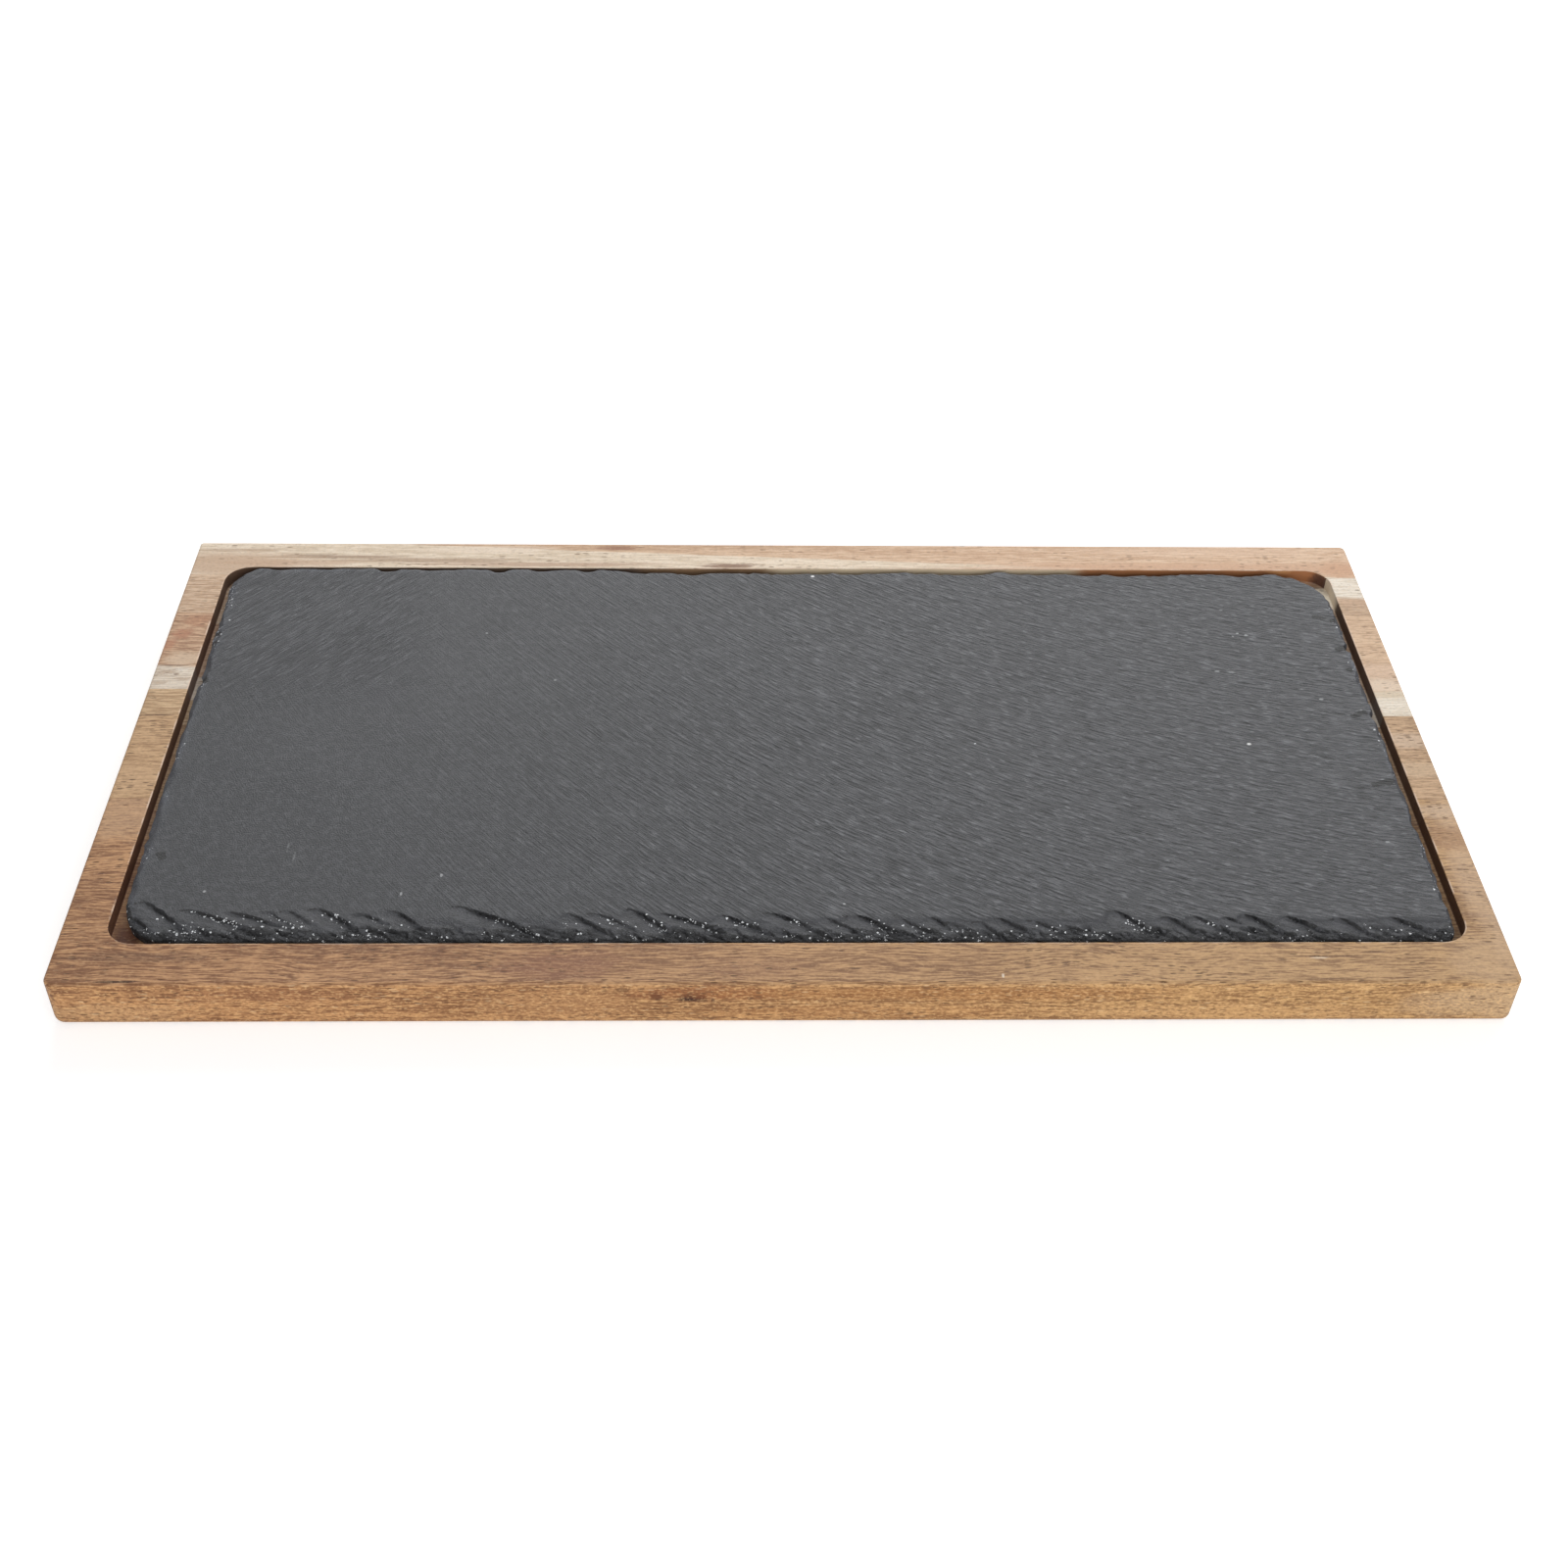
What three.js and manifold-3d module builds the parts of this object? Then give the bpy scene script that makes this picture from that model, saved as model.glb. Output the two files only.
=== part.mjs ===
// A serving tray: a board glued up from six wooden staves, with a shallow pocket routed into its top,
// and a slab of slate with chipped edges that lies loose in the pocket and lifts straight out.
// Millimetres, +Z up, +X along the staves. The origin is the middle of the underside.

import * as THREE from 'three';
import { mergeVertices } from 'three/addons/utils/BufferGeometryUtils.js';
import Module from 'manifold-3d';

// Board
const BOARD_LENGTH = 400;
const BOARD_THICKNESS = 16;
const UNDER_EDGE_RADIUS = 2.5; // rounding of the edge all round the underside
const UNDER_CORNER_RADIUS = 0.5; // corner of the flat underside, inside that rounding
const TOP_EDGE_RADIUS = 1;

// Widths of the staves, from the front of the board to the back
const FRONT_STAVE_WIDTH = 75.3;
const MIDDLE_FRONT_STAVE_WIDTH = 39.7;
const NARROW_STAVE_WIDTH = 12.7;
const MIDDLE_BACK_STAVE_WIDTH = 40.8;
const SAPWOOD_STAVE_WIDTH = 22.1;
const BACK_STAVE_WIDTH = 19.4;
const GLUE_LINE = 0.1; // film of glue between two staves

// Pocket, and the rim of wood left around it
const FRONT_RIM = 15.6;
const BACK_RIM = 14.8;
const LEFT_RIM = 12.6;
const RIGHT_RIM = 10.2;
const POCKET_DEPTH = 4.5;
const POCKET_CORNER_RADIUS = 8;
const POCKET_EDGE_BREAK = 0.4; // the arris of the pocket, taken off by sanding

// Slate slab
const SLATE_THICKNESS = 5.25;
const SLATE_GAP = 1.8; // between the slab's lower edge and the pocket wall
const SLATE_LOWER_EDGE = 1.2; // height of the upright band under the chipped bevel
const FRONT_BEVEL = 9.5; // widths of the chipped bevel, seen from above
const BACK_BEVEL = 1.6;
const SIDE_BEVEL = 2.2;
const FRONT_LEFT_ROUNDING = 5; // how much rounder each corner is than the pocket corner allows
const FRONT_RIGHT_ROUNDING = 0.5;
const BACK_RIGHT_ROUNDING = 14;
const BACK_LEFT_ROUNDING = 3;
const CHIP_LENGTH = 13; // usual length of one chip along the edge
const CHIP_DRIFT = 90; // distance over which the chips grow longer and shorter
const CHIP_SPACING = 4; // distance between the points that draw the chips
const CHIP_SHARE = 0.45; // part of the bevel's width by which the chips vary

// Fineness of the round edges
const ARC_STEPS = 6;
const EDGE_STEPS = 3;

const STAVES = [
  { name: 'front_stave', width: FRONT_STAVE_WIDTH, colour: 0xab835a },
  { name: 'middle_front_stave', width: MIDDLE_FRONT_STAVE_WIDTH, colour: 0xb8946a },
  { name: 'narrow_stave', width: NARROW_STAVE_WIDTH, colour: 0xbd9a6e },
  { name: 'middle_back_stave', width: MIDDLE_BACK_STAVE_WIDTH, colour: 0xc9a986 },
  { name: 'sapwood_stave', width: SAPWOOD_STAVE_WIDTH, colour: 0xd2b492 },
  { name: 'back_stave', width: BACK_STAVE_WIDTH, colour: 0xc19a72 },
];
const SLATE_COLOUR = 0x55575a;

const boardDepth = STAVES.reduce((sum, stave) => sum + stave.width, 0);
const boardBounds = {
  left: -BOARD_LENGTH / 2,
  right: BOARD_LENGTH / 2,
  front: -boardDepth / 2,
  back: boardDepth / 2,
};
const rims = { left: LEFT_RIM, right: RIGHT_RIM, front: FRONT_RIM, back: BACK_RIM };
const pocketBounds = inset(boardBounds, rims);
const pocketFloor = BOARD_THICKNESS - POCKET_DEPTH;

const wasm = await Module();
wasm.setup();

// The bounds moved inwards by a distance on each side.
function inset(bounds, { left, right, front, back }) {
  return {
    left: bounds.left + left,
    right: bounds.right - right,
    front: bounds.front + front,
    back: bounds.back - back,
  };
}

function insetAll(bounds, distance) {
  return inset(bounds, { left: distance, right: distance, front: distance, back: distance });
}

// A rectangle with its own radius at each corner, as [x, y] points counter-clockwise from above.
// The corners run front left, front right, back right, back left; steps splits the edge after each one.
function roundedRectangle({ left, right, front, back }, radii, steps = [1, 1, 1, 1]) {
  const arcs = [
    { x: left + radii[0], y: front + radii[0], from: Math.PI },
    { x: right - radii[1], y: front + radii[1], from: Math.PI * 1.5 },
    { x: right - radii[2], y: back - radii[2], from: 0 },
    { x: left + radii[3], y: back - radii[3], from: Math.PI / 2 },
  ].map(({ x, y, from }, corner) => Array.from({ length: ARC_STEPS + 1 }, (_, i) => {
    const angle = from + (i / ARC_STEPS) * (Math.PI / 2);
    return [x + radii[corner] * Math.cos(angle), y + radii[corner] * Math.sin(angle)];
  }));
  return arcs.flatMap((arc, corner) => {
    const start = arc.at(-1);
    const end = arcs[(corner + 1) % arcs.length][0];
    const shares = Array.from({ length: steps[corner] - 1 }, (_, i) => (i + 1) / steps[corner]);
    return [...arc, ...shares.map((share) => between(start, end, share))];
  });
}

function between(a, b, share) {
  return a.map((value, axis) => value + (b[axis] - value) * share);
}

function atHeight(outline, z) {
  return outline.map(([x, y]) => [x, y, z]);
}

// A closed body through a stack of rings with equally many points, listed from the bottom to the top.
function loft(rings) {
  const count = rings[0].length;
  const topStart = (rings.length - 1) * count;
  const flat = (ring) => ring.map(([x, y]) => new THREE.Vector2(x, y));
  const cap = (ring) => THREE.ShapeUtils.triangulateShape(flat(ring), []);
  const faces = [];
  for (let i = 0; i < topStart; i += 1) {
    const next = (i + 1) % count === 0 ? i + 1 - count : i + 1;
    faces.push([i, next, next + count], [i, next + count, i + count]);
  }
  cap(rings[0]).forEach(([a, b, c]) => faces.push([c, b, a]));
  cap(rings.at(-1)).forEach((face) => faces.push(face.map((corner) => corner + topStart)));
  const geometry = new THREE.BufferGeometry();
  geometry.setAttribute('position', new THREE.Float32BufferAttribute(rings.flat(2), 3));
  geometry.setIndex(faces.flat());
  return geometry;
}

// The whole board before it is cut: upright sides, a rounded lower edge and a finer rounded top edge.
function boardBlank() {
  const cornerRadius = UNDER_CORNER_RADIUS + UNDER_EDGE_RADIUS;
  const ring = (distance, z) => {
    const radius = cornerRadius - distance;
    return atHeight(roundedRectangle(insetAll(boardBounds, distance), [radius, radius, radius, radius]), z);
  };
  const quarter = Array.from({ length: EDGE_STEPS + 1 }, (_, i) => (i / EDGE_STEPS) * (Math.PI / 2));
  const lower = quarter.map((angle) => ring(
    UNDER_EDGE_RADIUS * (1 - Math.sin(angle)),
    UNDER_EDGE_RADIUS * (1 - Math.cos(angle)),
  ));
  const upper = quarter.map((angle) => ring(
    TOP_EDGE_RADIUS * (1 - Math.cos(angle)),
    BOARD_THICKNESS - TOP_EDGE_RADIUS * (1 - Math.sin(angle)),
  ));
  return loft([...lower, ...upper]);
}

// What the router takes out: upright walls on round corners, and the broken arris at the rim.
function pocketCut() {
  const ring = (distance, z) => {
    const radius = POCKET_CORNER_RADIUS - distance;
    return atHeight(roundedRectangle(insetAll(pocketBounds, distance), [radius, radius, radius, radius]), z);
  };
  const above = BOARD_THICKNESS + POCKET_DEPTH;
  return loft([
    ring(0, pocketFloor),
    ring(0, BOARD_THICKNESS - POCKET_EDGE_BREAK),
    ring(-POCKET_EDGE_BREAK, BOARD_THICKNESS),
    ring(-POCKET_EDGE_BREAK, above),
  ]);
}

// The block of space that one stave takes up, longer and taller than the board.
function staveSpace(front, back) {
  const space = new THREE.BoxGeometry(BOARD_LENGTH * 1.5, back - front, BOARD_THICKNESS * 3);
  space.translate(0, (front + back) / 2, 0);
  return space;
}

// Slate slab: an upright lower band, then a chipped bevel up to a smaller flat top.
function slateSlab() {
  const bounds = insetAll(pocketBounds, SLATE_GAP);
  const fitted = POCKET_CORNER_RADIUS - SLATE_GAP;
  const radii = [FRONT_LEFT_ROUNDING, FRONT_RIGHT_ROUNDING, BACK_RIGHT_ROUNDING, BACK_LEFT_ROUNDING]
    .map((rounding) => fitted + rounding);
  const alongX = Math.round((bounds.right - bounds.left) / CHIP_SPACING);
  const alongY = Math.round((bounds.back - bounds.front) / CHIP_SPACING);
  const steps = [alongX, alongY, alongX, alongY];
  const foot = roundedRectangle(bounds, radii, steps);
  const bevels = { left: SIDE_BEVEL, right: SIDE_BEVEL, front: FRONT_BEVEL, back: BACK_BEVEL };
  const brow = roundedRectangle(inset(bounds, bevels), radii, steps);
  const chipped = brow.map((point, i) => between(point, foot[i], CHIP_SHARE * chip(i * CHIP_SPACING)));
  const middle = foot.map((point, i) => between(point, chipped[i], 0.5));
  const top = pocketFloor + SLATE_THICKNESS;
  const bandTop = pocketFloor + SLATE_LOWER_EDGE;
  return loft([
    atHeight(foot, pocketFloor),
    atHeight(foot, bandTop),
    atHeight(middle, (bandTop + top) / 2),
    atHeight(chipped, top),
  ]);
}

// Depth of the chips at a distance along the edge, from 0 to 1: scallops whose length drifts.
function chip(distance) {
  const drift = Math.sin((2 * Math.PI * distance) / CHIP_DRIFT);
  return Math.abs(Math.sin((Math.PI * distance) / CHIP_LENGTH + drift));
}

// A geometry as a solid that can be cut, and back again.
function toSolid(geometry) {
  geometry.deleteAttribute('normal');
  geometry.deleteAttribute('uv');
  const merged = mergeVertices(geometry);
  return new wasm.Manifold(new wasm.Mesh({
    numProp: 3,
    vertProperties: new Float32Array(merged.attributes.position.array),
    triVerts: new Uint32Array(merged.index.array),
  }));
}

function toGeometry(solid) {
  const { vertProperties, triVerts } = solid.getMesh();
  const geometry = new THREE.BufferGeometry();
  geometry.setAttribute('position', new THREE.BufferAttribute(vertProperties, 3));
  geometry.setIndex(new THREE.BufferAttribute(triVerts, 1));
  return geometry;
}

function piece(name, geometry, material) {
  geometry.computeVertexNormals();
  const mesh = new THREE.Mesh(geometry, new THREE.MeshStandardMaterial(material));
  mesh.name = name;
  return mesh;
}

// Where the glue lines run, from front to back, with one more just outside each outer edge of the board.
function glueLines() {
  const lines = [boardBounds.front];
  STAVES.forEach(({ width }) => lines.push(lines.at(-1) + width));
  lines[0] -= GLUE_LINE;
  lines[STAVES.length] += GLUE_LINE;
  return lines;
}

// The board with its pocket, parted along the glue lines into its staves.
function board() {
  const group = new THREE.Group();
  const whole = toSolid(boardBlank()).subtract(toSolid(pocketCut()));
  const lines = glueLines();
  STAVES.forEach(({ name, colour }, i) => {
    const space = staveSpace(lines[i] + GLUE_LINE / 2, lines[i + 1] - GLUE_LINE / 2);
    const stave = whole.intersect(toSolid(space));
    group.add(piece(name, toGeometry(stave), { color: colour, roughness: 0.55, metalness: 0 }));
  });
  return group;
}

const tray = new THREE.Group();
tray.add(board());
tray.add(piece('slate_slab', slateSlab(), { color: SLATE_COLOUR, roughness: 0.7, metalness: 0 }));

export default tray;
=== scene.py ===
# %% [markdown]
# A wooden serving tray with a slate slab
#
# The real tray is a board of six acacia staves, glued edge to edge, with a shallow pocket routed into
# its top. A slab of riven slate with hand-chipped edges lies loose in the pocket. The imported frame
# already holds every piece at its real size, so this lesson only gives the pieces their looks: fine
# surfaces worked out with numpy, and materials built from shader nodes.

# %% Load the frame
import math

import bmesh
import bpy
import numpy as np
from mathutils import Matrix, Vector


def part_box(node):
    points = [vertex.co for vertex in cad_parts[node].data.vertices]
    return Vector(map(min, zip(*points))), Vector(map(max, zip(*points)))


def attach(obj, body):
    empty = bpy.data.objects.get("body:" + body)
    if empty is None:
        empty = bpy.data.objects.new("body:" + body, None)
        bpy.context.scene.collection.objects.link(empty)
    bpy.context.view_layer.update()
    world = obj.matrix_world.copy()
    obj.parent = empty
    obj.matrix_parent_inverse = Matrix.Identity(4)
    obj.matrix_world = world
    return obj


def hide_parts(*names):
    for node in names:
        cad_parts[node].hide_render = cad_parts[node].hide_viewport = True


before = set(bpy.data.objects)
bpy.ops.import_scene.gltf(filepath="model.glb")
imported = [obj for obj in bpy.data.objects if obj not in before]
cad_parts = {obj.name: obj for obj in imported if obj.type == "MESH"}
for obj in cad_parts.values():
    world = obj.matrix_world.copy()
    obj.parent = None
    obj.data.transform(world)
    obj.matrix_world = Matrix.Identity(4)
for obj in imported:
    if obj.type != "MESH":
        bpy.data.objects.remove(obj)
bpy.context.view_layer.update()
MM = 0.001

# %% [markdown]
# The camera stands where the photographer stood: in front of the tray, about as high as it is away from
# it. Its place was found by matching the edges of the board and the pocket, so it is written as
# measured numbers. It could also be aimed with a Track To constraint, but three turns are enough, and
# they stay put in other views.

# %% Camera
CAMERA_PLACE = (-15.47, -468.85, 403.64)
CAMERA_YAW = -1.997
CAMERA_DIP = 40.979
CAMERA_ROLL = 1.352
CAMERA_LENS = 45.12

scene = bpy.context.scene
camera_data = bpy.data.cameras.new("photo_camera")
camera_data.sensor_width = 36.0
camera_data.lens = CAMERA_LENS
camera = bpy.data.objects.new("photo_camera", camera_data)
scene.collection.objects.link(camera)
camera.matrix_world = (
    Matrix.Translation(Vector(CAMERA_PLACE) * MM)
    @ Matrix.Rotation(math.radians(CAMERA_YAW), 4, "Z")
    @ Matrix.Rotation(math.radians(90.0 - CAMERA_DIP), 4, "X")
    @ Matrix.Rotation(math.radians(CAMERA_ROLL), 4, "Z")
)
scene.camera = camera
scene.view_settings.view_transform = "Standard"
print("camera at", [round(v, 4) for v in camera.matrix_world.translation])

# %% [markdown]
# Shader trees are long when every node is made by hand, so a few small helpers come first.
# Each one adds a node, sets or links its inputs, and hands back a socket that the next node can use.
# Colours are written as they look on a screen and turned into the linear light that shaders work in.

# %% Node helpers
def screen_colour(red, green, blue):
    """A colour given as 0 to 255 on the screen, as linear light with full alpha."""
    value = np.array([red, green, blue]) / 255.0
    linear = np.where(value <= 0.04045, value / 12.92, ((value + 0.055) / 1.055) ** 2.4)
    return (*linear.tolist(), 1.0)


def add(tree, kind, feeds, **settings):
    """Adds a node; feeds maps an input's name or number to a socket or a plain value."""
    node = tree.nodes.new("ShaderNode" + kind)
    for name, value in settings.items():
        setattr(node, name, value)
    for name, value in feeds.items():
        if isinstance(value, bpy.types.NodeSocket):
            tree.links.new(value, node.inputs[name])
        else:
            node.inputs[name].default_value = value
    return node


def calc(tree, operation, first, second=0.0):
    """One sum on two numbers, by a Math node."""
    return add(tree, "Math", {0: first, 1: second}, operation=operation).outputs[0]


def plus(tree, first, second):
    """First plus second."""
    return calc(tree, "ADD", first, second)


def minus(tree, first, second):
    """First less second."""
    return calc(tree, "SUBTRACT", first, second)


def times(tree, first, second):
    """First times second."""
    return calc(tree, "MULTIPLY", first, second)


def ease(tree, value, low, high):
    """0 below low, 1 above high, and a smooth step between."""
    feeds = {"Value": value, "From Min": low, "From Max": high}
    return add(tree, "MapRange", feeds, interpolation_type="SMOOTHSTEP").outputs[0]


def length_of(tree, vector):
    """The length of a vector."""
    return add(tree, "VectorMath", {0: vector}, operation="LENGTH").outputs["Value"]


print("a screen grey of 128 is", round(screen_colour(128, 128, 128)[0], 3), "in linear light")

# %% [markdown]
# A product photograph like this is taken on white, under big soft lamps.
# The floor is pale and catches the tray's soft shadow. More light would bleach the tray as well,
# so a small glow that only shows in the background lifts the floor to white,
# a little stronger far out, where the lamps' light thins.

# %% Floor
FLOOR_SIZE = 6.0
FLOOR_COLOUR = (0.85, 0.85, 0.85, 1.0)
FLOOR_GLOW = 0.52
FAR_GLOW = 0.22
GLOW_RISES = (0.6, 1.4)

floor_mesh = bpy.data.meshes.new("floor")
half = FLOOR_SIZE / 2
floor_corners = [(-half, -half, 0), (half, -half, 0), (half, half, 0), (-half, half, 0)]
floor_mesh.from_pydata(floor_corners, [], [(0, 1, 2, 3)])
floor = bpy.data.objects.new("floor", floor_mesh)
scene.collection.objects.link(floor)


def seen_directly(tree):
    """1 for rays that show the background itself: from the camera, a gloss or a clear piece."""
    path = add(tree, "LightPath", {})
    gloss = calc(tree, "MAXIMUM", path.outputs["Is Camera Ray"], path.outputs["Is Glossy Ray"])
    return calc(tree, "MAXIMUM", gloss, path.outputs["Is Transmission Ray"])


floor_paint = bpy.data.materials.new("floor_paint")
floor_paint.use_nodes = True
tree = floor_paint.node_tree
tree.nodes.clear()
matt = add(tree, "BsdfDiffuse", {"Color": FLOOR_COLOUR})
centre_out = add(tree, "TexCoord", {}).outputs["Object"]
far_out = ease(tree, length_of(tree, centre_out), *GLOW_RISES)
level = plus(tree, FLOOR_GLOW, times(tree, far_out, FAR_GLOW))
glow = add(tree, "Emission", {"Strength": times(tree, seen_directly(tree), level)})
both = add(tree, "AddShader", {0: matt.outputs[0], 1: glow.outputs[0]})
add(tree, "OutputMaterial", {"Surface": both.outputs[0]})
floor_mesh.materials.append(floor_paint)
print("floor", FLOOR_SIZE, "m wide")

# %% [markdown]
# A dim white world fills the shadows, as the walls of a studio do.
# Where the camera sees the world itself, it is plain white: that is the photograph's background.

# %% World
WORLD_FILL = 0.36
WHITE = (1.0, 1.0, 1.0, 1.0)

world = bpy.data.worlds.new("white_studio")
world.use_nodes = True
scene.world = world
tree = world.node_tree
tree.nodes.clear()
rest = times(tree, minus(tree, 1.0, seen_directly(tree)), WORLD_FILL)
strength = plus(tree, rest, seen_directly(tree))
backdrop = add(tree, "Background", {"Color": WHITE, "Strength": strength})
add(tree, "OutputWorld", {"Surface": backdrop.outputs[0]})
print("world fill", WORLD_FILL)

# %% [markdown]
# One wide lamp behind and above gives the slate its sheen, and a second in front keeps the front face
# bright. Area lamps are used because their size makes the shadows soft; a sun or a point lamp would
# draw hard ones.

# %% Lamps
# name: (place in metres, width, depth, watts)
LAMPS = {
    "back_softbox": ((0.20, 0.95, 0.68), 1.4, 0.5, 10.6),
    "front_softbox": ((0.30, -1.20, 0.45), 1.4, 0.6, 11.0),
}
for name, (place, width, depth, watts) in LAMPS.items():
    lamp_data = bpy.data.lights.new(name, "AREA")
    lamp_data.shape = "RECTANGLE"
    lamp_data.size = width
    lamp_data.size_y = depth
    lamp_data.energy = watts
    lamp = bpy.data.objects.new(name, lamp_data)
    lamp.location = place
    lamp.rotation_euler = Vector(place).to_track_quat("Z", "Y").to_euler()
    scene.collection.objects.link(lamp)
print("lamps:", list(LAMPS))

# %% [markdown]
# Three helpers serve the surfaces. One joins neighbouring points of a grid into quads, one makes
# repeatable noise on whole arrays, and one steps smoothly from 0 to 1. Blender's own noise works on one
# point at a time, so random heights on a lattice are smoothed with numpy instead.

# %% Grid and noise helpers
LATTICE = 256


def quads(index):
    """Quads between neighbouring rows and columns of a grid of point numbers."""
    corners = [index[:-1, :-1], index[:-1, 1:], index[1:, 1:], index[1:, :-1]]
    return np.stack(corners, axis=-1).reshape(-1, 4).tolist()


def lattice_noise(u, v, seed):
    """Noise from -1 to 1: a random height at each whole u and v, eased between the four nearest."""
    table = np.random.default_rng(seed).uniform(-1.0, 1.0, (LATTICE, LATTICE))
    column = np.floor(u).astype(int)
    row = np.floor(v).astype(int)
    s = u - column
    t = v - row
    s = s * s * (3.0 - 2.0 * s)
    t = t * t * (3.0 - 2.0 * t)
    left, right = column % LATTICE, (column + 1) % LATTICE
    low, high = row % LATTICE, (row + 1) % LATTICE
    near = table[left, low] * (1 - s) + table[right, low] * s
    far = table[left, high] * (1 - s) + table[right, high] * s
    return near * (1 - t) + far * t


def smooth_step(value, low, high):
    """0 below low, 1 above high, and a smooth step between, on whole arrays."""
    t = np.clip((value - low) / (high - low), 0.0, 1.0)
    return t * t * (3.0 - 2.0 * t)


print("half way up a smooth step:", smooth_step(np.array([0.5]), 0.0, 1.0)[0])

# %% [markdown]
# The slab is split from a block of slate, so its top is riven: low ripples that fan out across it. Its
# edges were dressed with a hammer, which knocks off thin overlapping flakes, most of all along the
# front. A sculpted mesh or a displacement texture could show this. Here the slab is a height over
# points in plan: a fine grid for the chipped band along the front, and a wider one for the rest, in the
# slab's rounded rectangle.

# %% Slab plan
SLAB_CORNERS = {"front_left": 15.0, "front_right": 3.6, "back_right": 19.0, "back_left": 9.2}
TOP_STEP = 1.6
BAND_DEPTH = 16.0
BAND_STEP = 0.32
BAND_SPLIT = 5
EDGE_DEPTH = 4.0
EDGE_STEP = 0.5

slab_low, slab_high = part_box("slate_slab")
LEFT, FRONT, FOOT = np.array(slab_low) / MM
RIGHT, BACK, TOP = np.array(slab_high) / MM


def even_steps(start, end, step):
    """Numbers from start to end, as evenly as the step allows."""
    return np.linspace(start, end, round((end - start) / step) + 1)


side = even_steps(LEFT, LEFT + EDGE_DEPTH, EDGE_STEP)
middle = even_steps(LEFT + EDGE_DEPTH, RIGHT - EDGE_DEPTH, TOP_STEP)
columns = np.concatenate([side, middle[1:-1], even_steps(RIGHT - EDGE_DEPTH, RIGHT, EDGE_STEP)])
shares = np.arange(BAND_SPLIT * (len(columns) - 1) + 1) / BAND_SPLIT
band_columns = np.interp(shares, np.arange(len(columns)), columns)
band_rows = even_steps(FRONT, FRONT + BAND_DEPTH, BAND_STEP)
middle = even_steps(FRONT + BAND_DEPTH, BACK - EDGE_DEPTH, TOP_STEP)
top_rows = np.concatenate([middle[1:-1], even_steps(BACK - EDGE_DEPTH, BACK, EDGE_STEP)])


def flat_grid(across, up):
    """All pairs of the two lists of numbers, row by row, as two flat arrays."""
    x, y = np.meshgrid(across, up)
    return np.array([x.ravel(), y.ravel()])


band_grid = flat_grid(band_columns, band_rows)
top_grid = flat_grid(columns, top_rows)
slab_x, slab_y = np.concatenate([band_grid, top_grid], axis=1)
print("band", len(band_rows), "x", len(band_columns), "and top", len(top_rows), "x", len(columns))

# %% [markdown]
# The corners of the slab are all rounded differently, as four blows of a hammer leave them. Cutting the
# corners off would leave ragged steps, so each corner's square of points is pressed into a quarter
# disc. How far every point lies from the four edges is kept for later.

# %% Rounded corners
def round_corner(x, y, radius, corner_x, corner_y, side_x, side_y):
    """Presses the square of one corner into a quarter disc: s goes to s*sqrt(1 - t*t/2) and t likewise."""
    s = (side_x * (x - corner_x) + radius) / radius
    t = (side_y * (y - corner_y) + radius) / radius
    inside = (s > 0) & (t > 0)
    s_new = np.where(inside, s * np.sqrt(np.clip(1 - t * t / 2, 0, None)), s)
    t_new = np.where(inside, t * np.sqrt(np.clip(1 - s * s / 2, 0, None)), t)
    return corner_x + side_x * radius * (s_new - 1), corner_y + side_y * radius * (t_new - 1)


corner = SLAB_CORNERS
slab_x, slab_y = round_corner(slab_x, slab_y, corner["front_left"], LEFT, FRONT, -1, -1)
slab_x, slab_y = round_corner(slab_x, slab_y, corner["front_right"], RIGHT, FRONT, 1, -1)
slab_x, slab_y = round_corner(slab_x, slab_y, corner["back_right"], RIGHT, BACK, 1, 1)
slab_x, slab_y = round_corner(slab_x, slab_y, corner["back_left"], LEFT, BACK, -1, 1)


def bay(along, near, far, near_radius, far_radius):
    """How far a rounded corner draws the edge in, at a place along it between near and far."""
    first = np.clip(near_radius - (along - near), 0.0, near_radius)
    last = np.clip(far_radius - (far - along), 0.0, far_radius)
    return (
        near_radius - np.sqrt(near_radius**2 - first**2)
        + far_radius - np.sqrt(far_radius**2 - last**2)
    )


from_front = slab_y - FRONT - bay(slab_x, LEFT, RIGHT, corner["front_left"], corner["front_right"])
from_back = BACK - slab_y - bay(slab_x, LEFT, RIGHT, corner["back_left"], corner["back_right"])
from_left = slab_x - LEFT - bay(slab_y, FRONT, BACK, corner["front_left"], corner["back_left"])
from_right = RIGHT - slab_x - bay(slab_y, FRONT, BACK, corner["front_right"], corner["back_right"])
print("corner radii", SLAB_CORNERS)

# %% [markdown]
# The edges wander a little too, and each bears bites, placed as the photograph shows them.
# The right part of the back edge was knocked in further than the left.
# Only points near an edge move with it, so the grid inside stays even.

# %% Wandering edges
# place along the edge, width and depth of a bite; a negative depth stands proud
BACK_BITES = [
    (-171, 9, 0.6), (-156, 11, 0.4), (-133, 7, 1.7), (-115, 13, 0.5), (-95, 6, 1.6), (-80, 8, 0.9),
    (-65, 6, 1.2), (-30, 16, 0.5), (44, 4, -0.5), (80, 16, -0.9), (117, 7, 0.5), (128, 7, 0.7),
    (158, 6, 0.5),
]
LEFT_BITES = [(56, 4, 0.4), (27, 3, 0.7), (-46, 3, 0.5), (-12, 6, 0.3)]
RIGHT_BITES = [(45.5, 3, 0.9), (10, 3, 0.8), (-22, 4, 0.4), (-40, 5, 1.0)]
BACK_REACH = 5.0
SIDE_REACH = 4.0


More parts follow.
